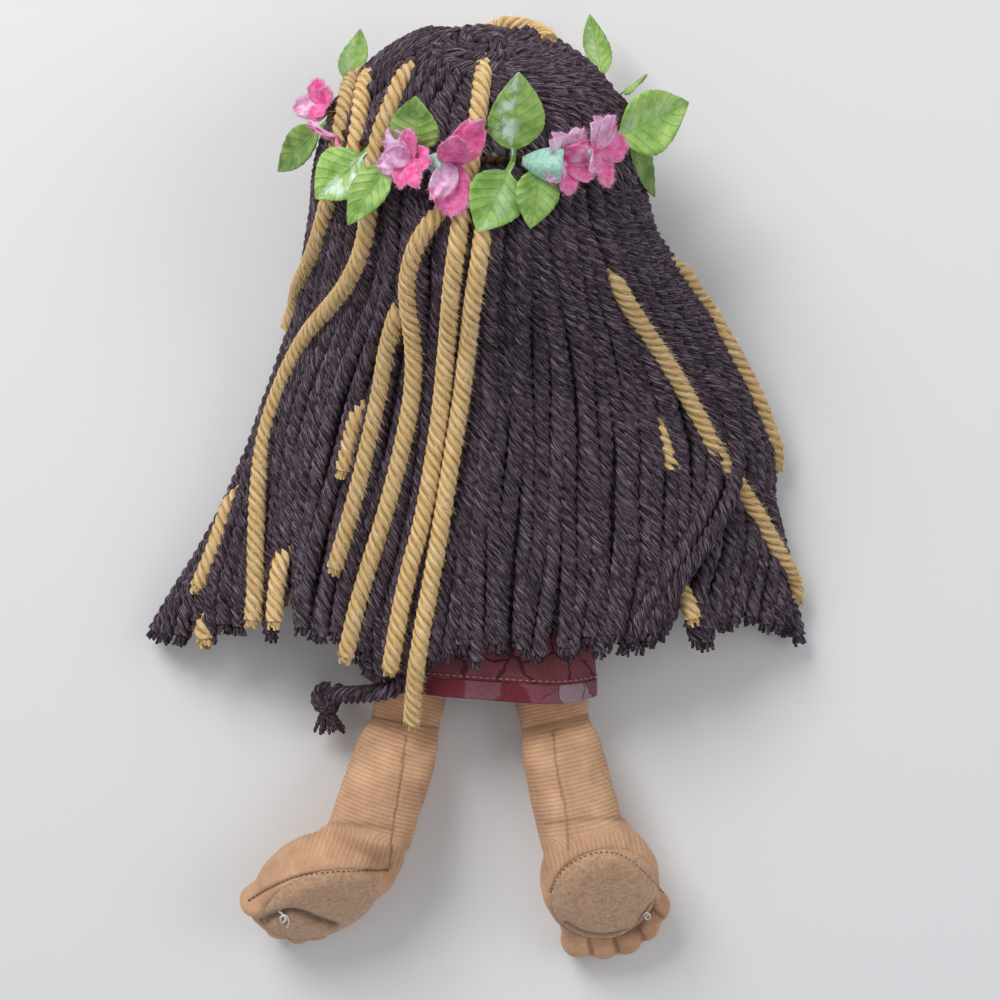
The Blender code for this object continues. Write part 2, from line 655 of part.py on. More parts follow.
def make_sole(side, cloth):
    """The oval sole panel, gently domed."""
    sole, toes, across, out = foot_frame(side)
    rings = []
    for size_share, crown_share in ((1.0, 0.0), (1.0, 0.08), (0.86, 0.5), (0.62, 0.8), (0.32, 0.96)):
        height = CLEARANCE + SOLE_EDGE * min(1.0, crown_share * 12) + SOLE_CROWN * crown_share
        half_length, half_width = SOLE_LENGTH / 2 * size_share, SOLE_WIDTH / 2 * size_share
        rings.append(ellipse(sole + out * height, toes, across, half_length, half_width, 24))
    points, faces = stack_rings(rings)
    add_piece("sole_" + side_name(side), points, faces, "lower_leg_" + side_name(side), cloth)


def make_bodice(cloth):
    """The sleeveless top of the dress, a skin over the torso with armholes and a neck hole."""
    low, high = SKIRT_TOP, TORSO_TOP - NECKLINE_DROP
    outer = torso_rings(DRESS_EASE + CLOTH, low - BODICE_OVERLAP, high, 24)
    inner = torso_rings(DRESS_EASE, low - BODICE_OVERLAP, high, 24)
    points, faces = tube_of_rings(outer, inner)
    bodice = add_piece("dress_bodice", points, faces, "torso", cloth, flat=True)
    ring_places = []
    for x_place in (-CUTTER_OVERRUN, CUTTER_OVERRUN):
        centre = Vector((x_place, SHOULDER_PLACE, TORSO_HEIGHT))
        ring_places.append(ellipse(centre, Y, Z, ARMHOLE_RADIUS, ARMHOLE_RADIUS, 20))
    points, faces = stack_rings(ring_places)
    armholes = add_piece("armhole_cutter", points, faces, "torso", cutter=True)
    add_boolean(bodice, armholes, "DIFFERENCE")


def tube_of_rings(outer, inner):
    """Points and faces of a wall between two stacks of rings, open at both ends."""
    sides = len(outer[0])
    rows = len(outer)
    points = [point for ring in outer for point in ring] + [point for ring in inner for point in ring]
    shift = rows * sides
    faces = []
    for row in range(rows - 1):
        for i in range(sides):
            j = (i + 1) % sides
            quad = (row * sides + i, row * sides + j, (row + 1) * sides + j, (row + 1) * sides + i)
            faces.append(quad)
            faces.append(tuple(reversed([index + shift for index in quad])))
    for row in (0, rows - 1):
        for i in range(sides):
            j = (i + 1) % sides
            a, b = row * sides + i, row * sides + j
            faces.append((a, b, b + shift, a + shift))
    return points, faces


def skirt_ring(down_share, inset):
    """A ring of the skirt: straight sides, soft folds and a hem that slants a little."""
    ring = []
    half_depth = (TORSO_DEPTH / 2 + DRESS_EASE + CLOTH)
    end_depth = SKIRT_HEM_DEPTH / 2
    taper = max(0.0, down_share - SKIRT_TAPER_SHARE) / (1 - SKIRT_TAPER_SHARE)
    depth = half_depth + (end_depth - half_depth) * taper
    fold = FOLD_HEIGHT * down_share
    for i in range(SKIRT_SIDES):
        angle = 2 * math.pi * i / SKIRT_SIDES
        ripple = fold * math.cos(FOLDS * angle) * max(0.0, math.sin(angle))
        half_width = SKIRT_WIDTH / 2 - inset + ripple
        x = half_width * math.cos(angle)
        z = (depth - inset + ripple) * math.sin(angle) + depth - FLAT_CUT
        slant = HEM_SLANT * (x / SKIRT_WIDTH + 0.5)
        y = SKIRT_TOP - CLEARANCE - (SKIRT_LENGTH + slant) * down_share
        ring.append(Vector((x, y, z)))
    return ring


def make_skirt(cloth, band_cloth):
    """The straight skirt from the waist seam down to its sewn hem band."""
    band_share = HEM_BAND / SKIRT_LENGTH
    shares = (0.0, 0.18, 0.38, 0.58, 0.76, 1 - band_share)
    outer = [skirt_ring(share, 0) for share in shares]
    inner = [skirt_ring(share, CLOTH) for share in shares]
    points, faces = tube_of_rings(outer, inner)
    add_piece("dress_skirt", points, faces, "torso", cloth, flat=True)
    gap_share = CLEARANCE / SKIRT_LENGTH
    shares = (1 - band_share + gap_share, 1 - band_share / 2, 1.0)
    outer = [skirt_ring(share, 0) for share in shares]
    inner = [skirt_ring(share, CLOTH) for share in shares]
    points, faces = tube_of_rings(outer, inner)
    add_piece("dress_hem", points, faces, "torso", band_cloth, flat=True)


def hair_row(place):
    """Left and right half-width, top, edge and wrap angle of the hair at a place along the doll."""
    share = (place - HAIR_END) / (HEAD_PLACE - HAIR_END)
    share = min(max(share, 0.0), 1.0)
    for low, high in zip(HAIR_SHARES, HAIR_SHARES[1:]):
        if share <= high[0]:
            mix = (share - low[0]) / (high[0] - low[0])
            row = [a + (b - a) * mix for a, b in zip(low, high)]
            break
    left, right = row[1] * HAIR_SPREAD, row[2] * HAIR_SPREAD
    top, edge = row[3] * HAIR_HEIGHT, row[4] * HAIR_HEIGHT
    return left, right, top, edge, row[5] * math.pi / 2


def hair_point(across, place, inner=False):
    """A point on the hair's outer or inner face; across runs from minus 1 to 1."""
    left, right, top, edge, wrap = hair_row(place)
    angle = abs(across) * wrap
    half = right if across >= 0 else left
    share = (1 - math.cos(angle)) / (1 - math.cos(wrap))
    drop = share ** (CURTAIN_PEAK_SHARE + (1 - CURTAIN_PEAK_SHARE) * max(0.0, wrap - math.pi / 2))
    if inner:
        over_head = min(max((place - NAPE) / (HEAD_PLACE - NAPE), 0.0), 1.0)
        thickness = CURTAIN_THICKNESS + (CAP_THICKNESS - CURTAIN_THICKNESS) * over_head
        half -= CURTAIN_EDGE + (CAP_SIDE_THICKNESS - CURTAIN_EDGE) * over_head
        top -= thickness
        edge = edge * over_head
    x = half * math.sin(angle)
    return Vector((math.copysign(x, across) if across else 0.0, place, top - (top - edge) * drop))


def crown_point(across, turn, inner=False):
    """A point on the hair over the top of the head; turn runs from 0 to a quarter turn."""
    _, _, top, _, wrap = hair_row(HEAD_PLACE)
    angle = abs(across) * (wrap + CROWN_WRAP_SHARE * math.sin(turn))
    middle = HAIR_HEIGHT * HAIR_HEAD_MIDDLE_SHARE
    half, rise, reach = HAIR_SHARES[-1][1] * HAIR_SPREAD, top - middle, HAIR_TOP_REACH
    if inner:
        middle, half = HEAD_HEIGHT, HEAD_WIDTH / 2 + HEAD_EASE
        rise, reach = HEAD_DEPTH / 2 + HEAD_EASE, HEAD_LENGTH / 2 + HEAD_EASE
    x = half * math.cos(turn) * math.sin(angle)
    z = middle + rise * math.cos(turn) * math.cos(angle)
    return Vector((math.copysign(x, across), HEAD_PLACE + reach * math.sin(turn), z))


def add_shell(name, outer, inner, body, material):
    """A closed sheet between two grids of points with as many rows and columns."""
    rows, columns = len(outer), len(outer[0])
    points = [point for row in outer for point in row] + [point for row in inner for point in row]
    shift = rows * columns
    faces = []
    for r in range(rows - 1):
        for c in range(columns - 1):
            quad = (r * columns + c, r * columns + c + 1, (r + 1) * columns + c + 1, (r + 1) * columns + c)
            faces.append(quad)
            faces.append(tuple(reversed([index + shift for index in quad])))
    rim = [c for c in range(columns)]
    rim += [r * columns + columns - 1 for r in range(1, rows)]
    rim += [(rows - 1) * columns + c for c in range(columns - 2, -1, -1)]
    rim += [r * columns for r in range(rows - 2, 0, -1)]
    for a, b in zip(rim, rim[1:] + rim[:1]):
        faces.append((a, b, b + shift, a + shift))
    return add_piece(name, points, faces, body, material)


def make_hair_cap(yarn):
    """The hair on the head, from the nape over the crown, open at the face."""
    acrosses = [-1 + 2 * c / 18 for c in range(19)]
    start = NAPE + CLEARANCE
    places = [start + (HEAD_PLACE - start) * share for share in (0, 0.15, 0.32, 0.5, 0.7, 0.86, 1)]
    outer = [[hair_point(across, place) for across in acrosses] for place in places]
    inner = [[hair_point(across, place, inner=True) for across in acrosses] for place in places]
    for step in range(1, 7):
        turn = math.pi / 2 * (step / 6.25)
        outer.append([crown_point(across, turn) for across in acrosses])
        inner.append([crown_point(across, turn, inner=True) for across in acrosses])
    add_shell("hair_cap", outer, inner, "head", yarn)


def curtain_place(across, down_share):
    end = HAIR_END + HAIR_END_RISE * across * across
    return NAPE + (end - NAPE) * down_share


def make_curtain(yarn):
    """The hair that hangs down the back, in three locks that lie side by side."""
    split, gap = LOCK_SPLIT_SHARE, LOCK_GAP_SHARE
    locks = {
        "hair_left": [-1 + (1 - split - gap) * c / 6 for c in range(7)],
        "hair_back": [-split + gap + 2 * (split - gap) * c / 8 for c in range(9)],
        "hair_right": [split + gap + (1 - split - gap) * c / 6 for c in range(7)],
    }
    for name, acrosses in locks.items():
        outer, inner = [], []
        for row in range(11):
            down = row / 10
            places = [curtain_place(across, down) for across in acrosses]
            outer.append([hair_point(*pair) for pair in zip(acrosses, places)])
            inner.append([hair_point(*pair, inner=True) for pair in zip(acrosses, places)])
        add_shell(name, outer, inner, "hair", yarn)


def hair_height(x, place):
    """Height of the hair's outer face over a point of the table."""
    if place > HEAD_PLACE:
        share = min(0.999, (place - HEAD_PLACE) / HAIR_TOP_REACH)
        half = HAIR_SHARES[-1][1] * HAIR_SPREAD * math.sqrt(1 - share * share)
        middle = HAIR_HEIGHT * HAIR_HEAD_MIDDLE_SHARE
        rise = (HAIR_HEIGHT - middle) * math.sqrt(1 - share * share)
        return middle + rise * math.sqrt(max(0.0, 1 - (x / half) ** 2))
    left, right, top, edge, wrap = hair_row(place)
    half = right if x >= 0 else left
    angle = math.asin(min(0.999, abs(x) / half))
    share = (1 - math.cos(angle)) / (1 - math.cos(wrap))
    drop = share ** (CURTAIN_PEAK_SHARE + (1 - CURTAIN_PEAK_SHARE) * max(0.0, wrap - math.pi / 2))
    height = top - (top - edge) * drop
    end = HAIR_END + HAIR_END_RISE * (x / half) ** 2
    if place < end:
        height = max(LOOSE_END_FLOOR, height - (end - place) * LOOSE_END_SLOPE_SHARE)
    return height


def photo_point(pixel, rise):
    """The point over the hair that the photograph shows at a pixel, a rise off its face."""
    z = HAIR_HEIGHT
    for _ in range(12):
        scale = (CAMERA_HEIGHT - z) / PHOTO_FOCAL_PX
        x = CAMERA_X + (pixel[0] - PHOTO_MIDDLE_PX) * scale
        y = CAMERA_Y - (pixel[1] - PHOTO_MIDDLE_PX) * scale
        z = hair_height(x, y)
    step = YARN / 4
    slope_x = (hair_height(x + step, y) - hair_height(x - step, y)) / (2 * step)
    slope_y = (hair_height(x, y + step) - hair_height(x, y - step)) / (2 * step)
    normal = Vector((-slope_x, -slope_y, 1)).normalized()
    return Vector((x, y, z)) + normal * rise


def strand_point(pixel):
    """A point of a gold strand's middle, on the dark hair and over the crown's band."""
    rise = YARN / 2 + CLEARANCE * 2
    away = band_distance(photo_point(pixel, rise))
    lift = (BAND_THICKNESS + CLEARANCE * 5) * math.exp(-((away / (YARN * 2)) ** 2))
    return photo_point(pixel, rise + lift)


def make_gold_strands(yarn):
    """The gold strands, plain cords on the dark hair, each cut where the hanging hair hinges."""
    for number, route in GOLD_ROUTES_PX.items():
        points = [strand_point(pixel) for pixel in route]
        on_head = [point for point in points if point.y > NAPE]
        hanging = [point for point in points if point.y <= NAPE]
        if on_head and hanging:
            step = hanging[0] - on_head[-1]
            seam = on_head[-1] + step * ((NAPE - on_head[-1].y) / step.y)
            half_gap = step.normalized() * (CLEARANCE / 2)
            on_head.append(seam - half_gap)
            hanging.insert(0, seam + half_gap)
        if on_head and (on_head[-1] - on_head[0]).length > STUB_LENGTH or not hanging:
            add_tube("gold_top_" + number, on_head, YARN, "head", yarn)
        if hanging:
            add_tube("gold_strand_" + number, hanging, YARN, "hair", yarn)


def make_tail(yarn):
    """The dark tail that comes out under the hair, with its knot and tuft."""
    route = [Vector(point) for point in TAIL_ROUTE]
    add_tube("hair_tail", route, YARN, "hair", yarn, sides=8)
    along = (route[-1] - route[-2]).normalized()
    half = TAIL_KNOT_WIDTH / 2
    middle = route[-1] + along * (half + CLEARANCE)
    middle.z = max(middle.z, half)
    across = along.cross(Z).normalized()
    points, faces = ellipsoid(middle, (along, across, across.cross(along)), (half, half * 1.1, half), 8, 12)
    knot = add_piece("tail_knot", points, faces, "hair", yarn)
    down = Vector((0.1, -1, 0)).normalized()
    half_sizes = (TAIL_TUFT_LENGTH / 2, YARN / 2, YARN / 2)
    points, faces = ellipsoid(middle + down * (half + TAIL_TUFT_LENGTH / 4), (down, X, Z), half_sizes, 6, 8)
    tuft = add_piece("tail_tuft", points, faces, "hair", cutter=True)
    add_boolean(knot, tuft, "UNION")


def band_middle():
    height = HAIR_HEIGHT * HAIR_HEAD_MIDDLE_SHARE
    return Vector((0, HEAD_PLACE + BAND_BACK_REACH + BAND_TILT_RISE / 2, height))


def band_axes():
    """Across the band, from its front to its back, and out of its plane to the head's top."""
    back = Vector((0, -BAND_TILT_RISE, HAIR_HEIGHT)).normalized()
    return X, back, X.cross(back) * -1


def band_distance(point):
    return (point - band_middle()).dot(band_axes()[2])


def inside_hair(point):
    """Whether a point lies in the hair or in the head."""
    head = Vector((0, HEAD_PLACE, HEAD_HEIGHT))
    share = ((point.x - head.x) / (HEAD_WIDTH / 2)) ** 2
    share += ((point.y - head.y) / (HEAD_LENGTH / 2)) ** 2
    share += ((point.z - head.z) / (HEAD_DEPTH / 2)) ** 2
    if share < 1:
        return True
    middle = HAIR_HEIGHT * HAIR_HEAD_MIDDLE_SHARE
    swell_share = math.sqrt(max(0.0, 1 - ((point.y - HEAD_PLACE) / HAIR_TOP_REACH) ** 2))
    half = HAIR_SHARES[-1][1] * HAIR_SPREAD * swell_share
    rise = (HAIR_HEIGHT - middle) * swell_share
    if not half or point.z < middle - rise:
        return False
    return (point.x / half) ** 2 + ((point.z - middle) / rise) ** 2 < 1


def band_point(turn):
    """A point of the band; turn 0 is at the doll's back and runs to its image right."""
    across, back, _ = band_axes()
    outward = back * math.cos(turn) + across * math.sin(turn)
    reach = HAIR_HEIGHT
    while not inside_hair(band_middle() + outward * reach):
        reach -= BAND_THICKNESS / 16
    reach += BAND_THICKNESS / 2 + CLEARANCE * 2
    return band_middle() + outward * reach, outward


def make_band(wire):
    """The thin ring that carries the blossom, laid round hair and forehead."""
    steps = 36
    _, _, normal = band_axes()
    rings = []
    for step in range(steps):
        centre, outward = band_point(2 * math.pi * step / steps)
        rings.append(ellipse(centre, outward, normal, BAND_THICKNESS / 2, BAND_THICKNESS / 2, 6))
    points = [point for ring in rings for point in ring]
    faces = []
    for step in range(steps):
        after = (step + 1) % steps
        for i in range(6):
            j = (i + 1) % 6
            faces.append((step * 6 + i, step * 6 + j, after * 6 + j, after * 6 + i))
    add_piece("crown_band", points, faces, "head", wire)


def trim_frame(turn_degrees, swing_degrees, lean_degrees):
    """Where a leaf or flower starts on the band, and its own directions."""
    turn, swing, lean = (math.radians(value) for value in (turn_degrees, swing_degrees, lean_degrees))
    centre, outward = band_point(turn)
    _, _, up = band_axes()
    along_band = up.cross(outward)
    flat = up * math.cos(swing) + along_band * math.sin(swing)
    direction = flat * math.cos(lean) + outward * math.sin(lean)
    face = outward * math.cos(lean) - flat * math.sin(lean)
    start = centre + outward * (BAND_THICKNESS / 2 + CLEARANCE + STEM_THICKNESS / 2)
    return start, direction, direction.cross(face), face


def make_leaf(name, values, cloth):
    """A cloth leaf with a raised middle rib and a short stem."""
    turn, swing, lean, length_share, width_share = values
    start, along, across, face = trim_frame(turn, swing, lean)
    length, half_width = LEAF_LENGTH * length_share, LEAF_WIDTH / 2 * width_share
    points, faces = [], []
    outline = ((0.0, 0.06), (0.14, 0.10), (0.3, 0.78), (0.52, 1.0), (0.78, 0.62), (1.0, 0.05))
    for along_share, width in outline:
        for side in (-1, 0, 1):
            rise = half_width * width * LEAF_FOLD_SHARE * abs(side)
            for level in (-0.5, 0.5):
                point = start + along * (length * along_share) + across * (side * half_width * width)
                points.append(point + face * (rise + level * LEAF_THICKNESS))
    rows = len(outline)
    for row in range(rows - 1):
        a, b = row * 6, row * 6 + 6
        for side in (0, 2):
            faces.append((a + side, a + side + 2, b + side + 2, b + side))
            faces.append((a + side + 1, b + side + 1, b + side + 3, a + side + 3))
        faces.append((a, b, b + 1, a + 1))
        faces.append((a + 4, a + 5, b + 5, b + 4))
    last = rows * 6 - 6
    faces.append((0, 1, 3, 2))
    faces.append((2, 3, 5, 4))
    faces.append((last, last + 2, last + 3, last + 1))
    faces.append((last + 2, last + 4, last + 5, last + 3))
    add_piece(name, points, faces, "head", cloth)


def make_flower(name, values, cloth):
    """A five-lobed cloth blossom that opens like a cup on a short stem."""
    turn, swing, lean, size_share = values
    start, along, across, face = trim_frame(turn, swing, lean)
    radius, depth = FLOWER_RADIUS * size_share, FLOWER_DEPTH * size_share
    outer, inner = [], []
    for depth_share, radius_share in ((0.0, 0.09), (0.35, 0.14), (0.62, 0.62), (1.0, 1.0)):
        ring_out, ring_in = [], []
        for i in range(15):
            angle = 2 * math.pi * i / 15
            notch = 1 - 0.3 * radius_share ** 3 if i % 3 == 0 else 1.0
            direction = across * math.cos(angle) + face * math.sin(angle)
            centre = start + along * (depth * depth_share)
            ring_out.append(centre + direction * (radius * radius_share * notch))
            lifted = centre + along * PETAL_THICKNESS
            ring_in.append(lifted + direction * (radius * radius_share * notch * 0.92))
        outer.append(ring_out)
        inner.append(ring_in)
    inner = inner[1:]
    rings = outer + inner[::-1]
    points, faces = stack_rings(rings)
    add_piece(name, points, faces, "head", cloth)


def make_doll():
    """Builds every piece on its body, then moves the doll onto its origin."""
    skin = make_material("skin_knit", (0.46, 0.26, 0.14), 0.9)
    sole_cloth = make_material("sole_cloth", (0.36, 0.22, 0.13), 0.95)
    dress = make_material("dress_print", (0.31, 0.07, 0.10), 0.85)
    band_cloth = make_material("hem_band", (0.42, 0.13, 0.17), 0.85)
    dark = make_material("dark_yarn", (0.032, 0.022, 0.030), 0.95)
    gold = make_material("gold_yarn", (0.55, 0.33, 0.10), 0.9)
    leaf = make_material("leaf_cloth", (0.20, 0.36, 0.06), 0.7)
    petal = make_material("petal_cloth", (0.75, 0.12, 0.34), 0.75)
    wire = make_material("band_wire", (0.10, 0.07, 0.04), 0.6)
    eye = make_material("eye_thread", (0.06, 0.04, 0.03), 0.7)
    mouth = make_material("mouth_thread", (0.45, 0.08, 0.09), 0.8)

    make_body("torso", Vector((0, 0, 0)))
    make_body("head", Vector((0, TORSO_TOP + CLEARANCE, TORSO_HEIGHT)), "torso")
    make_body("hair", Vector((0, NAPE, NAPE_HINGE_HEIGHT)), "torso")
    for side in (LEFT, RIGHT):
        name = side_name(side)
        shoulder = Vector((side * SHOULDER_WIDTH / 2, SHOULDER_PLACE, TORSO_HEIGHT))
        make_body("arm_" + name, shoulder, "torso")
        make_body("thigh_" + name, hip_middle(side), "torso")
        make_body("lower_leg_" + name, knee_frame(side)[0], "thigh_" + name)

    head_cutter = make_head(skin, {"eye": eye, "mouth": mouth})
    make_torso(skin)
    make_neck(skin, head_cutter)
    for side in (LEFT, RIGHT):
        make_arm(side, skin)
        make_thigh(side, skin)
        make_lower_leg(side, skin)
        make_sole(side, sole_cloth)
    make_bodice(dress)
    make_skirt(dress, band_cloth)
    make_hair_cap(dark)
    make_curtain(dark)
    make_gold_strands(gold)
    make_tail(dark)
    make_band(wire)
    for name, values in LEAVES.items():
        make_leaf(name, values, leaf)
    for name, values in FLOWERS.items():
        make_flower(name, values, petal)
    centre_doll()


def centre_doll():
    """Moves the whole doll so that the origin is the middle of its footprint."""
    bpy.context.view_layer.update()
    graph = bpy.context.evaluated_depsgraph_get()
    low, high = Vector((1, 1, 1)), Vector((-1, -1, -1))
    for piece in bpy.context.scene.objects:
        if piece.type == "EMPTY" or piece.hide_render:
            continue
        shape = piece.evaluated_get(graph).to_mesh()
        for vertex in shape.vertices:
            point = piece.matrix_world @ vertex.co
            low = Vector(map(min, low, point))
            high = Vector(map(max, high, point))
    middle = (low + high) / 2
    BODIES["torso"].location -= Vector((middle.x, middle.y, 0))


for stale in list(bpy.data.objects):
    bpy.data.objects.remove(stale, do_unlink=True)
make_doll()
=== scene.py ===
# %% [markdown]
# # A rag doll in yarn, knit and cloth
# The doll lies on its front on a table and shows its back: a fan of chunky yarn hair with gold
# strands, a crown of cloth blossom, the hem of a printed dress, and two sewn knit legs.
# Its plain solids come in as a fixed frame. Each step below makes one real piece in its place.

# %% Load the frame
import random
from math import asin, atan2, copysign, cos, pi, radians, sin, sqrt

import bmesh
import bpy
import numpy as np
from mathutils import Matrix, Vector, noise
from mathutils.bvhtree import BVHTree


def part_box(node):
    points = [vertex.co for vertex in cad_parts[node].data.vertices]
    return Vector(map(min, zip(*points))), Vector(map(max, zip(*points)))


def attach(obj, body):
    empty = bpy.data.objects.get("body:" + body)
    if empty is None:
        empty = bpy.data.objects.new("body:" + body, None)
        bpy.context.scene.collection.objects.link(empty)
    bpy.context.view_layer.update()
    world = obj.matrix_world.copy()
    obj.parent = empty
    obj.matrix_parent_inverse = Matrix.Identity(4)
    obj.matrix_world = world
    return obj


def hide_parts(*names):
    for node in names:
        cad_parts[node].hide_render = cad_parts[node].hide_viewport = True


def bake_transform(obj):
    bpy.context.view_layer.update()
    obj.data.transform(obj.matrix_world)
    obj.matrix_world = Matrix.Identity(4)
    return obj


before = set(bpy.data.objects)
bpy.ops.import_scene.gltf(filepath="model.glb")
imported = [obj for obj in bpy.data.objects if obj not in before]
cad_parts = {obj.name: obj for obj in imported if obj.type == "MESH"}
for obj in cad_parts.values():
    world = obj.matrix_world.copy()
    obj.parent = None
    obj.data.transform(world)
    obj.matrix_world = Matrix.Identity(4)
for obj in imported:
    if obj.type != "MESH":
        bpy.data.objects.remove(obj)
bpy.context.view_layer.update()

MM = 0.001
torso_low, torso_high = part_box("torso")
TORSO_TOP = 48.0 * MM
MIDDLE = Vector(((torso_low.x + torso_high.x) / 2, torso_high.y - TORSO_TOP, 0))
print("pieces in the frame:", len(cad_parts), "middle of the doll:", tuple(round(v, 5) for v in MIDDLE))

# %% [markdown]
# ## Camera, table and light
# The photograph looks straight down from about 0.9 m with a longish lens, so that the doll is hardly
# in perspective. The table is a plain pale plane. One soft lamp stands at the upper left, a much
# weaker one at the right, and a pale world fills the shadows: that is enough to show yarn as yarn.

# %% Camera, table and lamps
CAMERA_HEIGHT = 900 * MM
FOCAL_PX = 2740.0
SENSOR_WIDTH = 36
PICTURE_WIDTH = 1000
VIEW_MIDDLE = Vector((6.45 * MM, -0.95 * MM, 0)) + MIDDLE


def in_scene(name, data):
    """A new object in the scene, at the origin, for a mesh, a lamp or a camera."""
    thing = bpy.data.objects.new(name, data)
    bpy.context.scene.collection.objects.link(thing)
    return thing


camera = in_scene("photo_camera", bpy.data.cameras.new("photo_camera"))
camera.data.lens = FOCAL_PX * SENSOR_WIDTH / PICTURE_WIDTH
camera.data.sensor_width = SENSOR_WIDTH
camera.data.clip_start = 0.05
camera.location = VIEW_MIDDLE + Vector((0, 0, CAMERA_HEIGHT))
bpy.context.scene.camera = camera
bpy.context.scene.view_settings.view_transform = "Standard"


def sheet_of_points(name, points, faces):
    """A mesh object from points and faces, at the origin."""
    mesh = bpy.data.meshes.new(name)
    mesh.from_pydata([tuple(p) for p in points], [], faces)
    mesh.update()
    return in_scene(name, mesh)


def add_lamp(name, place, size, power, aim=Vector((0, 0, 0.03))):
    """A soft square lamp that points at the doll."""
    lamp = in_scene(name, bpy.data.lights.new(name, "AREA"))
    lamp.data.energy = power
    lamp.data.size = size
    lamp.location = place
    lamp.rotation_euler = (aim - place).to_track_quat("-Z", "Y").to_euler()


FLOOR = 3.0
LAMP_SIZE = 0.7
corners = [(-FLOOR, -FLOOR, 0), (FLOOR, -FLOOR, 0), (FLOOR, FLOOR, 0), (-FLOOR, FLOOR, 0)]
floor = sheet_of_points("table", corners, [(0, 1, 2, 3)])
add_lamp("soft_lamp", Vector((-0.60, 0.90, 1.00)), LAMP_SIZE, 14.0)
add_lamp("side_lamp", Vector((0.9, 0.1, 0.9)), LAMP_SIZE, 2.6)
world = bpy.data.worlds.new("studio")
bpy.context.scene.world = world
world.use_nodes = True
world.node_tree.nodes["Background"].inputs["Color"].default_value = (0.93, 0.95, 1.0, 1)
world.node_tree.nodes["Background"].inputs["Strength"].default_value = 0.44
print("camera", round(camera.location.z, 3), "m over the table, lens", round(camera.data.lens, 1), "mm")

# %% [markdown]
# ## Helpers for nodes and colours
# Blender's shader sockets want linear light, and colours are written as sRGB hex values, so
# one function turns them. Materials and Geometry Nodes trees are both node trees, and one function
# adds a node to either. The table is matt white laminate: even, with no gloss that could compete.

# %% Node and colour helpers
def paint(code):
    """A hex colour, as written in a colour picker, in linear light."""
    parts = [int(code[i:i + 2], 16) / 255 for i in (1, 3, 5)]
    return tuple(c / 12.92 if c <= 0.04045 else ((c + 0.055) / 1.055) ** 2.4 for c in parts) + (1.0,)


def adder(tree):
    """The one function that adds nodes to this tree. A second word in a node's kind is its operation,
    mode or data type. Inputs are values or links, in order or by name, and other keywords are
    settings. It returns one output, or all of them where out is None."""
    def add(kind, *inputs, out=0, **named):
        kind, _, word = kind.partition(" ")
        families = ("ShaderNode", "GeometryNode", "FunctionNode")
        family = next(f for f in families if hasattr(bpy.types, f + kind))
        node = tree.nodes.new(family + kind)
        if word:
            setattr(node, next(key for key in ("operation", "mode", "data_type") if hasattr(node, key)), word)
        for key in filter(str.islower, named):
            setattr(node, key, named[key])
        live = [socket for socket in node.inputs if socket.enabled]
        by_name = [(node.inputs[key.replace("_", " ")], named[key]) for key in named if not key.islower()]
        for socket, value in list(zip(live, inputs)) + by_name:
            if isinstance(value, bpy.types.NodeSocket):
                tree.links.new(value, socket)
            else:
                socket.default_value = value
        if out is None or isinstance(out, str):
            return node.outputs[out] if out else node.outputs
        return [socket for socket in node.outputs if socket.enabled][out]
    return add


def new_material(name, roughness, **shader_values):
    """A material with its Principled shader, whose plain numbers are set on its own sockets."""
    material = bpy.data.materials.new(name)
    material.use_nodes = True
    shader = material.node_tree.nodes["Principled BSDF"]
    shader.inputs["Roughness"].default_value = roughness
    for key, value in shader_values.items():
        shader.inputs[key.replace("_", " ")].default_value = value
    return material, adder(material.node_tree), shader


def coat(shader, colour, relief=None, depth=0.0, strength=1.0):
    """Links a colour to the shader and, where there is one, a relief with its depth in metres."""
    links = shader.id_data.links
    links.new(colour, shader.inputs["Base Color"])
    if relief is not None:
        bump = adder(shader.id_data)("Bump", strength, depth, Height=relief)
        links.new(bump, shader.inputs["Normal"])


def shaded(add, colour, shade):
    """A colour made darker or lighter by one number."""
    grey = add("CombineColor", shade, shade, shade)
    return add("Mix RGBA", 1.0, colour, grey, blend_type="MULTIPLY")


TABLE_TOP, _, shader = new_material("matt_white_laminate", 0.6)
shader.inputs["Base Color"].default_value = paint("#e7e7e7")
floor.data.materials.append(TABLE_TOP)

# %% [markdown]
# ## The shape that the hair lies on
# All strands lie on one surface: a dome over the head that widens into a fan over the back. A few
# rows of shares give its half-widths, its top and its edge from the lower end up to the middle of
# the head, and a place on it is named by how far round it is (`across`, minus 1 to 1) and where it
# is along the doll. Over the crown the rows become meridians that meet in a whorl.

# %% Hair surface
HAIR_END = -51.0 * MM
HAIR_END_RISE = 7.0 * MM
NAPE = 54.0 * MM
HEAD_PLACE = 95.0 * MM
HAIR_SPREAD = 107.0 * MM
HAIR_HEIGHT = 86.5 * MM
HAIR_TOP_REACH = 53.0 * MM
HEAD_MIDDLE_SHARE = 0.488
CROWN_WRAP_SHARE = 0.44
WHORL_TILT = radians(34.0)
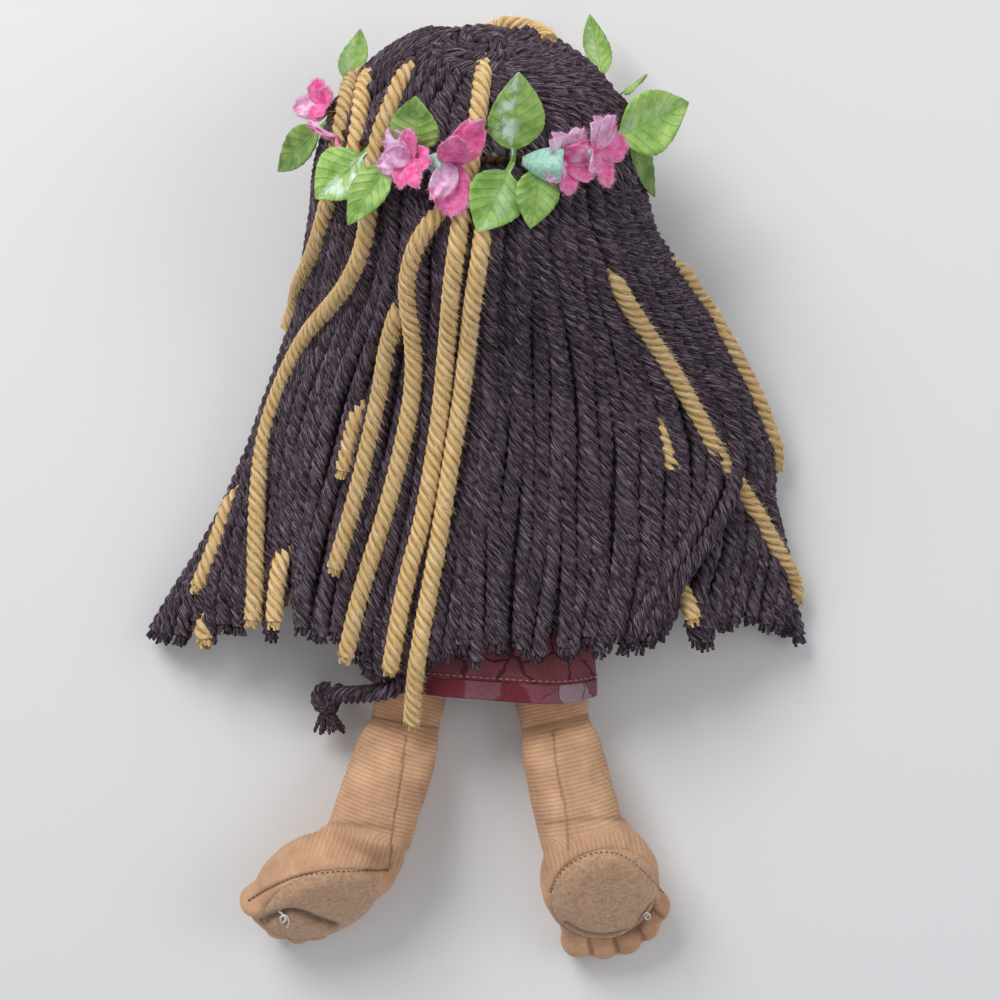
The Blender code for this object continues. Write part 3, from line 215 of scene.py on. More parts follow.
# share of the way up, then shares of spread and height: left, right, top, edge, and quarter turns
HAIR_SHARES = np.array((
    (0.000, 1.030, 0.990, 0.466, 0.058, 1.00),
    (0.048, 1.000, 0.977, 0.480, 0.058, 1.00),
    (0.129, 0.935, 0.953, 0.500, 0.058, 1.00),
    (0.218, 0.860, 0.935, 0.523, 0.058, 1.00),
    (0.347, 0.766, 0.888, 0.558, 0.058, 1.00),
    (0.456, 0.700, 0.892, 0.593, 0.058, 1.00),
    (0.565, 0.650, 0.850, 0.640, 0.060, 1.00),
    (0.667, 0.598, 0.785, 0.725, 0.070, 1.00),
    (0.762, 0.547, 0.682, 0.862, 0.105, 1.03),
    (0.850, 0.519, 0.589, 0.957, 0.174, 1.12),
    (0.912, 0.500, 0.520, 0.985, 0.233, 1.20),
    (1.000, 0.477, 0.477, 1.000, 0.279, 1.28),
))

CROWN_HALF = HAIR_SHARES[-1][1] * HAIR_SPREAD
CROWN_MIDDLE = HAIR_HEIGHT * HEAD_MIDDLE_SHARE


def hair_row(place):
    """Left and right half-width, top, edge and wrap angle of the hair at a place along the doll."""
    share = (place - HAIR_END) / (HEAD_PLACE - HAIR_END)
    row = [float(np.interp(share, HAIR_SHARES[:, 0], HAIR_SHARES[:, k])) for k in range(1, 6)]
    left, right, top, edge, quarters = row
    return left * HAIR_SPREAD, right * HAIR_SPREAD, top * HAIR_HEIGHT, edge * HAIR_HEIGHT, quarters * pi / 2


def row_drop(angle, wrap):
    """How far the surface has come down from its top at an angle, as a share."""
    share = max(0.0, (1 - cos(angle)) / (1 - cos(wrap)))
    return share ** (0.85 + 0.15 * max(0.0, wrap - pi / 2))


def surface_point(across, place):
    """A point of the hair's outer face. Past the head's middle, place runs on round the crown."""
    if place <= HEAD_PLACE:
        left, right, top, edge, wrap = hair_row(place)
        angle = abs(across) * wrap
        x = (right if across >= 0 else left) * sin(angle)
        z = top - (top - edge) * row_drop(angle, wrap)
        return Vector((copysign(x, across), place, z))
    turn = min((place - HEAD_PLACE) / HAIR_TOP_REACH, pi / 2)
    wrap = HAIR_SHARES[-1][5] * pi / 2
    angle = across * (wrap + CROWN_WRAP_SHARE * sin(turn))
    round_point = Vector((cos(turn) * sin(angle), sin(turn), cos(turn) * cos(angle)))
    round_point.rotate(Matrix.Rotation(WHORL_TILT * sin(turn) ** 2, 3, "X"))
    return Vector((CROWN_HALF * round_point.x, HEAD_PLACE + HAIR_TOP_REACH * round_point.y,
                   CROWN_MIDDLE + (HAIR_HEIGHT - CROWN_MIDDLE) * round_point.z))


def hair_normal(across, place):
    """The direction out of the hair at a place on it."""
    step = 0.004
    along_across = surface_point(across + step, place) - surface_point(across - step, place)
    along_place = surface_point(across, place + 1.5 * MM) - surface_point(across, place - 1.5 * MM)
    normal = along_across.cross(along_place)
    return normal.normalized() if normal.length > 0 else Vector((0, 1, 0))


def flat_height(x, y):
    """Height of the hair's outer face over a point of the table."""
    if y > HEAD_PLACE:
        share = min(0.995, (y - HEAD_PLACE) / HAIR_TOP_REACH)
        swell = sqrt(1 - share * share)
        height = sqrt(max(0.02, 1 - (x / (CROWN_HALF * swell)) ** 2))
        return CROWN_MIDDLE + (HAIR_HEIGHT - CROWN_MIDDLE) * swell * height
    left, right, top, edge, wrap = hair_row(y)
    angle = asin(min(0.995, abs(x) / (right if x >= 0 else left)))
    return top - (top - edge) * row_drop(angle, wrap)


def place_of_pixel(pixel):
    """Where a pixel of the photograph meets the hair: across and place, in the doll's frame."""
    z = HAIR_HEIGHT
    for _ in range(14):
        scale = (CAMERA_HEIGHT - z) / FOCAL_PX
        x = VIEW_MIDDLE.x - MIDDLE.x + (pixel[0] - PICTURE_WIDTH / 2) * scale
        y = VIEW_MIDDLE.y - MIDDLE.y - (pixel[1] - PICTURE_WIDTH / 2) * scale
        z = 0.5 * z + 0.5 * flat_height(x, max(y, HAIR_END))
    if y > HEAD_PLACE:
        rise = max(0.0, z - CROWN_MIDDLE) / (HAIR_HEIGHT - CROWN_MIDDLE)
        point = Vector((x / CROWN_HALF, (y - HEAD_PLACE) / HAIR_TOP_REACH, rise))
        turn = asin(min(0.999, max(0.0, point.y / max(point.length, 0.001))))
        for _ in range(6):
            back = point.copy()
            back.rotate(Matrix.Rotation(-WHORL_TILT * sin(turn) ** 2, 3, "X"))
            turn = asin(min(0.999, max(0.0, back.y / max(back.length, 0.001))))
        angle = atan2(back.x, back.z)
        across = angle / (HAIR_SHARES[-1][5] * pi / 2 + CROWN_WRAP_SHARE * sin(turn))
        return across, HEAD_PLACE + turn * HAIR_TOP_REACH
    left, right, _, _, wrap = hair_row(y)
    half = right if x >= 0 else left
    return copysign(asin(min(0.999, abs(x) / half)) / wrap, x), y


print("top of the hair at the nape:", round(surface_point(0, NAPE).z * 1000, 1), "mm")

# %% [markdown]
# ## Where each strand runs
# Loose yarn falls in families: neighbours run side by side and spread together. So only a few guide
# routes are read from the photograph, as pixels from the middle of the head down to a tip, and the
# strands between two guides are mixed from them. Above the first pixel a strand follows its own
# meridian up to the whorl. Where the strands crowd, every second and third one lies deeper.

# %% Guide routes
BACK_GUIDES_PX = (
    ((316, 190), (305, 240), (292, 290), (272, 350), (243, 430), (213, 500), (178, 560), (148, 615),
     (139, 638)),
    ((322, 190), (316, 240), (304, 295), (282, 360), (256, 430), (232, 495), (212, 550), (199, 600),
     (198, 645)),
    ((332, 190), (330, 240), (318, 290), (297, 355), (270, 430), (249, 495), (236, 545), (228, 590),
     (228, 640)),
    ((348, 190), (350, 240), (341, 285), (316, 335), (290, 385), (270, 440), (262, 490), (257, 555),
     (250, 622)),
    ((372, 190), (370, 245), (358, 290), (336, 340), (314, 395), (298, 450), (288, 510), (284, 565),
     (284, 620)),
    ((400, 190), (398, 250), (391, 310), (377, 365), (358, 430), (340, 500), (324, 570), (312, 640)),
    ((428, 190), (412, 250), (411, 310), (413, 370), (400, 450), (381, 520), (362, 590), (349, 656)),
    ((466, 190), (457, 250), (450, 320), (442, 400), (428, 480), (411, 550), (398, 610), (391, 664)),
    ((484, 190), (478, 255), (471, 320), (463, 390), (451, 470), (438, 550), (424, 620), (416, 668)),
    ((506, 190), (505, 260), (500, 340), (494, 430), (487, 520), (480, 600), (474, 669)),
    ((532, 190), (537, 260), (540, 340), (540, 430), (537, 520), (532, 600), (527, 665)),
    ((556, 190), (567, 260), (577, 340), (583, 430), (584, 520), (580, 600), (573, 662)),
    ((580, 190), (597, 260), (616, 340), (630, 430), (634, 520), (628, 600), (618, 658)),
    ((600, 190), (624, 260), (651, 335), (676, 415), (685, 490), (674, 575), (650, 652)),
    ((612, 190), (641, 260), (678, 335), (715, 405), (730, 450), (716, 515), (690, 570), (666, 636)),
)
BACK_COUNTS = (4, 2, 3, 3, 4, 4, 4, 3, 4, 4, 3, 4, 4, 3)
SIDE_GUIDES_PX = (
    ((612, 190), (641, 260), (680, 330), (716, 395), (728, 450), (722, 530), (704, 590), (692, 634)),
    ((618, 190), (650, 255), (690, 320), (730, 390), (752, 450), (752, 520), (742, 590), (734, 640)),
    ((625, 190), (657, 250), (700, 310), (743, 375), (770, 445), (780, 520), (782, 590), (778, 640)),
    ((632, 190), (663, 245), (708, 300), (752, 360), (779, 430), (793, 510), (804, 585), (812, 643)),
)
SIDE_COUNTS = (3, 3, 3)
YARN = 5.2 * MM
SAMPLES = 90


def guide_track(route):
    """A guide as across and place at even steps of the way, from near the whorl to its tip."""
    pairs = np.array([place_of_pixel(pixel) for pixel in route])
    start = HEAD_PLACE + HAIR_TOP_REACH * 1.5
    pairs = np.vstack(([pairs[0][0], start], pairs))
    lengths = np.concatenate(([0.0], np.cumsum(np.abs(np.diff(pairs[:, 1])))))
    even = np.linspace(0, lengths[-1], SAMPLES)
    across = np.interp(even, lengths, pairs[:, 0])
    for _ in range(6):
        across[1:-1] = (across[:-2] + 2 * across[1:-1] + across[2:]) / 4
    return np.column_stack((across, np.interp(even, lengths, pairs[:, 1])))


def mixed_tracks(guides, counts):
    """The guides' own tracks and evenly mixed ones between them, in order across the hair."""
    tracks = []
    for first, second, count in zip(guides, guides[1:], counts):
        for k in range(count):
            tracks.append(first + (second - first) * (k / count))
    return tracks + [guides[-1]]


back_guides = [guide_track(route) for route in BACK_GUIDES_PX]
side_guides = [guide_track(route) for route in SIDE_GUIDES_PX]
back_tracks = mixed_tracks(back_guides, BACK_COUNTS)
side_tracks = mixed_tracks(side_guides, SIDE_COUNTS)
print("strands seen on the back:", len(back_tracks), "and in the lock beside it:", len(side_tracks))

# %% [markdown]
# A track becomes a strand when it gets its height: its depth under the surface, a little wander, and
# a tip of its own length. The hair is cut in two at the nape, into the part on the head and the part
# below it.

# %% Strands as lines
dice = random.Random(7)
# strands nearer than the gap give way to each other, and fully so once they are the range nearer
CROWD_GAP, CROWD_RANGE = 4.6 * MM, 3.2 * MM


def crowding(tracks):
    """How much each strand has to give way to its neighbours, 0 to 1, at each step."""
    points = [np.array([surface_point(a, p)[:] for a, p in track]) for track in tracks]
    crowd = []
    for k, own in enumerate(points):
        other = points[k + 1] if k + 1 < len(points) else points[k - 1]
        spacing = np.linalg.norm(own - other, axis=1)
        crowd.append(np.clip((CROWD_GAP - spacing) / CROWD_RANGE, 0, 1))
    return crowd


def lay_strand(track, depths, wander=1.0, trim=0.0, start=0.0):
    """Points of one strand in the doll's frame, from its start to its tip."""
    phase = [dice.uniform(0, 6.28) for _ in range(3)]
    length = SAMPLES - 1
    first, last = int(length * start), length * (1 - trim)
    points = []
    for k in range(first, int(last) + 1):
        across, place = track[k]
        t = k / length
        half = max(surface_point(1 if across > 0 else -1, min(place, HEAD_PLACE)).length_squared ** 0.5, 0.04)
        sway = sin(9 * t + phase[0]) * 0.9 + sin(21 * t + phase[1]) * 0.35
        across = across + sway * wander * 1.1 * MM / half * min(1.0, t * 2.5)
        lift = sin(14 * t + phase[2]) * 0.3 * MM * wander
        points.append(surface_point(across, place) + hair_normal(across, place) * (lift - depths[k]))
    return points


def cut_at_nape(points):
    """The part of a strand above the nape and the part below it."""
    upper = [p for p in points if p.y > NAPE]
    lower = [p for p in points if p.y <= NAPE]
    if upper and lower:
        share = (upper[-1].y - NAPE) / (upper[-1].y - lower[0].y)
        seam = upper[-1].lerp(lower[0], share)
        upper.append(seam)
        lower.insert(0, seam.copy())
    return upper, lower


TIP_RUN = 4 * MM


def tip_shares(strand):
    """How thick a strand is at each of its points: its open ends thin out over the last few millimetres."""
    points, (open_start, open_end) = strand["points"], strand["ends"]
    run = np.concatenate(([0.0], np.cumsum([(b - a).length for a, b in zip(points, points[1:])])))
    away = np.full(len(points), 1.0)
    if open_start:
        away = np.minimum(away, run)
    if open_end:
        away = np.minimum(away, run[-1] - run)
    return list(0.62 + 0.38 * np.clip(away / TIP_RUN, 0, 1) ** 0.6)


def lines_object(name, strands):
    """One object of edges for many strands, with each strand's own tone and where its twist starts."""
    points, edges, tones, starts, tips = [], [], [], [], []
    for strand in strands:
        tips += tip_shares(strand)
        base = len(points)
        points += [p + MIDDLE for p in strand["points"]]
        edges += [(base + i, base + i + 1) for i in range(len(strand["points"]) - 1)]
        tones += [strand["tone"]] * len(strand["points"])
        starts += [strand["start"]] * len(strand["points"])
    mesh = bpy.data.meshes.new(name)
    mesh.from_pydata([tuple(p) for p in points], edges, [])
    for key, values in (("tone", tones), ("twist_start", starts), ("tip", tips)):
        mesh.attributes.new(key, "FLOAT", "POINT").data.foreach_set("value", values)
    return in_scene(name, mesh)


def line_length(points):
    return sum((b - a).length for a, b in zip(points, points[1:]))


def smooth_line(points, count=4, step=None):
    """A spline through points in space, or through pixels with a point every few pixels of it."""
    line = [Vector(p) for p in points]
    line = [line[0] * 2 - line[1]] + line + [line[-1] * 2 - line[-2]]
    found = []
    for a, b, c, d in zip(line, line[1:], line[2:], line[3:]):
        if step:
            count = max(1, round((c - b).length / step))
        for k in range(count):
            t = k / count
            bend, turn = 2 * a - 5 * b + 4 * c - d, 3 * b - a - 3 * c + d
            found.append(0.5 * (2 * b + (c - a) * t + bend * t * t + turn * t ** 3))
    return found + [line[-2]]

# %% [markdown]
# ## Yarn from Geometry Nodes
# Chunky yarn is a few plies twisted round each other. A lobed profile swept along a line, with a
# tilt that grows with the length, gives just that, and one tree serves every strand. The tree also
# writes down, for the material, where along the strand a point is and whether it lies on a ply or in
# the groove between two, and for the fuzz which way the strand runs.

# %% Yarn tree
def socket_of(tree, name):
    """The identifier of a tree's input, which a modifier wants."""
    for item in tree.interface.items_tree:
        if item.item_type == "SOCKET" and item.in_out == "INPUT" and item.name == name:
            return item.identifier


def new_tree(name, floats, whole=()):
    """An empty geometry tree whose inputs are a mesh, numbers, whole numbers and a material."""
    tree = bpy.data.node_groups.new(name, "GeometryNodeTree")
    inputs = [(key, "Float") for key in floats] + [(key, "Int") for key in whole]
    for key, kind in [("Geometry", "Geometry")] + inputs + [("Material", "Material")]:
        tree.interface.new_socket(key, in_out="INPUT", socket_type="NodeSocket" + kind)
    tree.interface.new_socket("Geometry", in_out="OUTPUT", socket_type="NodeSocketGeometry")
    return tree, adder(tree), tree.nodes.new("NodeGroupInput").outputs


def close_tree(tree, geometry):
    tree.links.new(geometry, tree.nodes.new("NodeGroupOutput").inputs[0])


def yarn_tree():
    floats = ("Radius", "Pitch", "Step", "Plies", "Groove")
    tree, add, given = new_tree("twisted_yarn", floats, ("Sides",))
    curve = add("MeshToCurve", given["Geometry"])
    curve = add("ResampleCurve LENGTH", curve, Length=given["Step"])
    curve = add("SetCurveNormal Z_UP", curve)
    along = add("SplineParameter", out="Length")
    started = add("InputNamedAttribute FLOAT", "twist_start")
    run = add("Math ADD", along, started)
    curve = add("StoreNamedAttribute FLOAT", curve, Name="along", Value=run)
    tangent = add("InputTangent")
    curve = add("StoreNamedAttribute FLOAT_VECTOR", curve, Name="run", Value=tangent)
    turns = add("Math DIVIDE", run, given["Pitch"])
    tilt = add("Math MULTIPLY", turns, -2 * pi)
    thickness = add("InputNamedAttribute FLOAT", "tip")
    curve = add("SetCurveRadius", curve, Radius=thickness)
    curve = add("SetCurveTilt", curve, Tilt=tilt)
    ring = add("CurvePrimitiveCircle RADIUS", given["Sides"], 1.0)
    factor = add("SplineParameter", out="Factor")
    angle = add("Math MULTIPLY", factor, 2 * pi)
    lobes = add("Math COSINE", add("Math MULTIPLY", angle, given["Plies"]))
    ridge = add("Math MULTIPLY_ADD", lobes, 0.5, 0.5)
    size = add("Math MULTIPLY", add("Math MULTIPLY_ADD", lobes, given["Groove"], 1.0), given["Radius"])
    place = add("InputPosition")
    scaled = add("VectorMath SCALE", place, size)
    ring = add("StoreNamedAttribute FLOAT", ring, Name="ridge", Value=ridge)
    spin = add("CombineXYZ", add("Math COSINE", angle), add("Math SINE", angle))
    ring = add("StoreNamedAttribute FLOAT_VECTOR", ring, Name="spin", Value=spin)
    ring = add("SetPosition", ring, Position=scaled)
    tube = add("CurveToMesh", curve, ring, Fill_Caps=True)
    tube = add("SetShadeSmooth", tube)
    tube = add("SetMaterial", tube, Material=given["Material"])
    close_tree(tree, add("RealizeInstances", tube))
    return tree


def grown(source, tree, values, name, keep_source=False):
    """Runs a tree on an object and returns the result as a plain mesh object."""
    modifier = source.modifiers.new("grow", "NODES")
    modifier.node_group = tree
    for key, value in values.items():
        modifier[socket_of(tree, key)] = value
    bpy.context.view_layer.update()
    graph = bpy.context.evaluated_depsgraph_get()
    mesh = bpy.data.meshes.new_from_object(source.evaluated_get(graph))
    mesh.name = name
    piece = in_scene(name, mesh)
    source.modifiers.remove(modifier)
    if not keep_source:
        bpy.data.objects.remove(source)
    mesh.calc_loop_triangles()
    print(name, "has", len(mesh.loop_triangles), "triangles")
    return piece


YARN_TREE = yarn_tree()

# %% [markdown]
# ## Dyed acrylic yarn
# The hair is brushed acrylic or wool yarn: very rough, with a soft sheen where fibres stand up. Its
# colour is painted darker in the grooves between the plies, as shade. Single fibres run along the
# plies and show as lighter dashes, so noise is stretched along the strand and turned with the twist.

# %% Yarn material
def yarn_material(name, groove, body, fibre, fibre_share, sheen):
    material, add, shader = new_material(name, 0.92, Sheen_Weight=sheen, Sheen_Roughness=0.45,
                                         Specular_IOR_Level=0.22)
    shader.inputs["Sheen Tint"].default_value = paint(fibre)
    ridge, along, tone = (add("Attribute", out="Fac", attribute_name=key)
                          for key in ("ridge", "along", "tone"))
    spin = add("Attribute", out="Vector", attribute_name="spin")
    x, y, _ = add("SeparateXYZ", spin, out=None)
    shift = add("Math MULTIPLY", tone, 40.0)
    far = add("Math MULTIPLY_ADD", along, 45.0, shift)
    place = add("CombineXYZ", x, y, far)
    fine = add("TexNoise", place, 7.0, 3.0, 0.65)
    coarse = add("TexNoise", place, 1.3)
    # painted shade: the groove colour darkens the yarn between the plies
    colour = add("Mix RGBA", add("MapRange", ridge, 0.0, 0.6), paint(groove), paint(body))
    dash = add("MapRange", fine, 0.50, 0.64)
    colour = add("Mix RGBA", add("Math MULTIPLY", dash, fibre_share), colour, paint(fibre))
    shade = add("Math MULTIPLY_ADD", coarse, 0.5, 0.75)
    shade = add("Math MULTIPLY", shade, add("Math MULTIPLY_ADD", tone, 0.35, 0.82))
    height = add("Math MULTIPLY_ADD", fine, 0.6, add("Math MULTIPLY", ridge, 0.4))
    coat(shader, shaded(add, colour, shade), height, 0.7 * MM, 0.7)
    return material


# the first colour of each yarn is the painted shade in its grooves
DARK_YARN = yarn_material("brushed_acrylic_yarn_dark", "#060305", "#382a34", "#9b8a96", 0.77, 0.14)
GOLD_YARN = yarn_material("brushed_acrylic_yarn_gold", "#9a7640", "#e4bb76", "#fff0cf", 0.72, 0.22)

# %% [markdown]
# ## Hair on the head and hair down the back
# Each strand is laid at its depth, cut at the nape and sent to the object of its lock. A second layer
# of plainer strands under the first closes the gaps, as the inner strands do on the real doll, and
# gets only the darker tones, as painted shade. A thin near-black cap of felt under the strands on the
# head shows between them as painted shade.

# %% Dark strands
LAYER = 2.3 * MM
SINK = 1.1 * MM
LAYERS = (0, 2, 1)
UNDER_DEPTH = 4.6 * MM
LAST_LEFT_STRAND = 20


def strand_record(points, tone=0.5, start=0.0, ends=(False, False)):
    """A strand: its points, its tone, how far its twist has run, and which ends are cut and open."""
    return {"points": points, "tone": tone, "start": start, "ends": ends}


upper_lines, left_lines, middle_lines, right_lines = [], [], [], []
crowd = crowding(back_tracks)
for k, track in enumerate(back_tracks):
    layer = LAYERS[k % 3]
    depths = SINK + LAYER * layer * crowd[k]
    tuck = np.clip((np.arange(SAMPLES) / SAMPLES - 0.02 - 0.035 * layer) / 0.05, 0, 1)
    depths = depths + (1 - tuck) * 3.0 * MM
    points = lay_strand(track, depths, wander=1.0, trim=dice.uniform(0.0, 0.03), start=0.01 + 0.05 * layer)
    tone = dice.random()
    upper, lower = cut_at_nape(points)
    if len(upper) > 3:
        upper_lines.append(strand_record(upper, tone))
    lock = left_lines if k < LAST_LEFT_STRAND else middle_lines
    lock.append(strand_record(lower, tone, line_length(upper), (False, True)))

edge = back_guides[-1]
crowd = crowding(side_tracks)
for k, track in enumerate(side_tracks):
    edge_across = np.interp(track[:, 1], edge[::-1, 1], edge[::-1, 0])
    below_nape = np.clip((NAPE - track[:, 1]) / (25 * MM), 0, 1)
    inside = np.clip((edge_across + 0.05 - track[:, 0]) / 0.08, 0, 1) * below_nape
    depths = SINK + LAYER * LAYERS[k % 3] * crowd[k] + inside * UNDER_DEPTH
    points = lay_strand(track, depths, trim=dice.uniform(0.0, 0.03), start=0.03 + 0.04 * (k % 3))
    tone = dice.random()
    upper, lower = cut_at_nape(points)
    upper_lines.append(strand_record(upper, tone))
    right_lines.append(strand_record(lower, tone, line_length(upper), (False, True)))

# %% Strands round the sides of the head and under the edges
def rim_track(side, across_top, across_low):
    """A track that stays near the hair's edge, out of sight from above."""
    places = np.linspace(HEAD_PLACE + HAIR_TOP_REACH * 1.45, HAIR_END + HAIR_END_RISE, SAMPLES)
    mix = np.clip((HEAD_PLACE - places) / (HEAD_PLACE - NAPE), 0, 1)
    return np.column_stack((side * (across_top + (across_low - across_top) * mix), places))


for side, lock in ((-1, left_lines), (1, right_lines)):
    for k in range(9):
        share = k / 8
        track = rim_track(side, 0.70 + 0.28 * share, 0.93 + 0.055 * share)
        below_head = np.clip((HEAD_PLACE - track[:, 1]) / (60 * MM), 0, 1)
        depths = SINK + below_head * (3.4 * MM + (k % 2) * 1.6 * MM)
        points = lay_strand(track, depths, wander=0.7, trim=dice.uniform(0.0, 0.05),
                            start=0.02 + 0.05 * (k % 3))
        tone = dice.random()
        upper, lower = cut_at_nape(points)
        upper_lines.append(strand_record(upper, tone))
        if k % 2 == 0:
            lock.append(strand_record(lower, tone, line_length(upper), (False, True)))

# %% Second layer under the fan, and two strands that close the right side of the head
under = {"left": [], "middle": [], "right": []}
for k, track in enumerate(back_tracks[:-1] + side_tracks[:-1]):
    if k % 4 == 3:
        continue
    other = (back_tracks + side_tracks)[k + 1]
    middle_track = (track + other) / 2
    depths = np.full(SAMPLES, SINK + UNDER_DEPTH)
    points = lay_strand(middle_track, depths, wander=1.2, trim=dice.uniform(0.0, 0.04), start=0.3)
    lower = [p for p in points if p.y <= NAPE - 1 * MM]
    name = "left" if k < LAST_LEFT_STRAND else "middle" if k < len(back_tracks) - 1 else "right"
    # the strands underneath get only the darker half of the tones: painted shade under the top layer
    under[name].append(strand_record(lower, dice.random() * 0.5, dice.uniform(0, 0.1), (False, True)))

for top in (0.605, 0.650):
    points = lay_strand(rim_track(1, top, 0.93), np.full(SAMPLES, SINK + 0.8 * MM), wander=0.7, start=0.03)
    upper_lines.append(strand_record(cut_at_nape(points)[0], dice.random()))

FULL_YARN = {"Radius": YARN / 2 * 0.94, "Pitch": 14 * MM, "Step": 1.1 * MM, "Plies": 4.0, "Groove": 0.19,
             "Sides": 16, "Material": DARK_YARN}
PLAIN_YARN = dict(FULL_YARN, Step=1.8 * MM, Sides=8, Groove=0.1)


def yarn_piece(name, records, values):
    return grown(lines_object(name + "_lines", records), YARN_TREE, values, name)


hair_upper = yarn_piece("hair_on_head", upper_lines, dict(FULL_YARN, Step=1.4 * MM))
hair_pieces = {
    "hair_left": yarn_piece("hair_lock_left", left_lines, FULL_YARN),
    "hair_back": yarn_piece("hair_lock_back", middle_lines, FULL_YARN),
    "hair_right": yarn_piece("hair_lock_right", right_lines, FULL_YARN),
}
under_pieces = {name: yarn_piece("hair_under_" + name, under[name], PLAIN_YARN) for name in under}

# %% [markdown]
# ## Gold strands
# The gold strands are the same yarn in another dye. Their routes are read from the photograph, made
# smooth with a spline through the pixels, and laid a little proud of the dark hair. A few of them
# lie side by side, and where one dives under its neighbours its route just ends a little deeper.

# %% Gold routes
# each route in pixels, then how far the strand stands proud of the hair, in millimetres
GOLD_ROUTES_PX = {
    "01": (((359, 58), (352, 92), (345, 130), (338, 172), (329, 214), (318, 252), (305, 282), (292, 312),
            (284, 330)), 1.4),
    "01b": (((369, 64), (365, 96), (361, 130), (356, 160), (350, 190)), 1.2),
    "02": (((411, 62), (397, 98), (383, 134), (374, 175), (371, 215), (365, 249), (352, 279), (334, 305),
            (312, 333), (294, 366), (280, 400), (268, 440), (261, 490), (258, 545), (257, 590), (254, 620)),
           1.4),
    "02b": (((304, 340), (286, 372), (274, 405), (266, 440), (262, 470)), -0.4),
    "02c": (((283, 545), (279, 575), (276, 600), (275, 621)), 0.6),
    "03": (((441, 206), (432, 222), (419, 243), (411, 268), (409, 292), (412, 320), (415, 350), (414, 387),
            (408, 425), (398, 470), (386, 515), (371, 563), (357, 611), (347, 655)), 1.4),
    "04": (((401, 300), (396, 318), (388, 350), (382, 387), (373, 430), (362, 477), (349, 525), (336, 568)),
           1.0),
    "04b": (((359, 396), (354, 420), (348, 445), (342, 470)), -0.7),
    "05": (((485, 56), (481, 92), (476, 131), (470, 172), (463, 209), (457, 250), (452, 292), (448, 340),
            (442, 403), (434, 460), (423, 520), (411, 565), (401, 610), (391, 668)), 1.5),
    "06": (((484, 222), (479, 260), (473, 300), (468, 345), (462, 395), (455, 440), (447, 490), (439, 540),
            (430, 590), (421, 640), (414, 690), (411, 724)), 1.4),
    "07": (((611, 271), (620, 292), (633, 314), (647, 335), (662, 358), (676, 380), (690, 404), (704, 430),
            (716, 453), (730, 474), (744, 497), (759, 521), (773, 547), (788, 573), (801, 598)), 1.0),
    "08": (((669, 257), (680, 274), (693, 294), (707, 315), (721, 338), (736, 365), (752, 396), (765, 429),
            (777, 464)), 1.3),
    "09": (((659, 412), (665, 438), (674, 468)), -1.5),
    "09b": (((684, 588), (689, 602), (692, 618)), 0.4),
    "10": (((237, 486), (228, 515), (218, 545), (208, 570), (200, 588)), 0.9),
    "10b": (((204, 612), (202, 626), (206, 641)), 0.6),
    "11": (((490, 17), (503, 18), (517, 22), (531, 28), (541, 36), (548, 44)), 1.0),
}


def gold_points(pixels, rise):
    """A gold strand in the doll's frame. Below the fan's end it hangs on down to its tip."""
    points = []
    for pixel in smooth_line(pixels, step=5.0):
        across, place = place_of_pixel(pixel)
        low = HAIR_END + HAIR_END_RISE * across * across
        sunk = 0.9 * max(0, 4 - len(points))
        out = hair_normal(across, max(place, HAIR_END))
        point = surface_point(across, max(place, HAIR_END)) + out * (rise - sunk) * MM
        if place < low:
            point.z -= (low - place) * 0.62
            point.y = min(point.y, place)
        points.append(point)
    for _ in range(3):
        mixed = [(a + 2 * b + c) / 4 for a, b, c in zip(points, points[1:], points[2:])]
        points = [points[0]] + mixed + [points[-1]]
    return points


gold_upper, gold_lower = [], []
for name, (pixels, rise) in GOLD_ROUTES_PX.items():
    tone = dice.random()
    upper, lower = cut_at_nape(gold_points(pixels, rise))
    if len(upper) > 2:
        gold_upper.append(strand_record(upper, tone, 0.0, (True, not lower)))
    if len(lower) > 2:
        gold_lower.append(strand_record(lower, tone, line_length(upper), (not upper, True)))
GOLD_VALUES = dict(FULL_YARN, Radius=YARN / 2, Pitch=13 * MM, Step=0.8 * MM, Plies=4.0, Groove=0.10, Sides=20,
                   Material=GOLD_YARN)
gold_on_head = yarn_piece("gold_on_head", gold_upper, GOLD_VALUES)
gold_on_fan = yarn_piece("gold_on_fan", gold_lower, GOLD_VALUES)

# %% [markdown]
# A cut end of yarn opens: its plies part and each ends in loose fibre. So every open end gets a few
# thin plies that start inside the strand and flare a little.

# %% Frayed ends
def frayed(points, count, flare, length):
    """Thin plies that leave the last few millimetres of a strand."""
    tip, way = points[-1], (points[-1] - points[-3]).normalized()
    side = way.cross(Vector((0, 0, 1))).normalized()
    up = side.cross(way)
    lines = []
    for k in range(count):
        turn = 2 * pi * (k + dice.random() * 0.6) / count
        off = side * cos(turn) + up * sin(turn)
        reach = length * dice.uniform(0.5, 1.1)
        start = tip - way * 2.5 * MM + off * 1.0 * MM
        middle = tip + way * reach * 0.4 + off * 1.5 * MM
        end = tip + way * reach + off * flare * dice.uniform(0.6, 1.2)
        lines.append(strand_record(smooth_line([start, middle, end], 3), dice.random(), 0.0, (False, True)))
    return lines


# Dark strands that hang on past the fan, over the left edge of the dress
LOW_ROUTES_PX = (
    ((346, 585), (347, 620), (349, 656)), ((360, 590), (362, 630), (366, 667)),
    ((376, 590), (378, 630), (381, 673)), ((391, 592), (392, 635), (396, 670)),
    ((404, 594), (404, 635), (408, 672)), ((690, 580), (695, 612), (700, 641)),
    ((703, 575), (706, 610), (710, 642)), ((264, 580), (266, 610), (268, 634)),
)
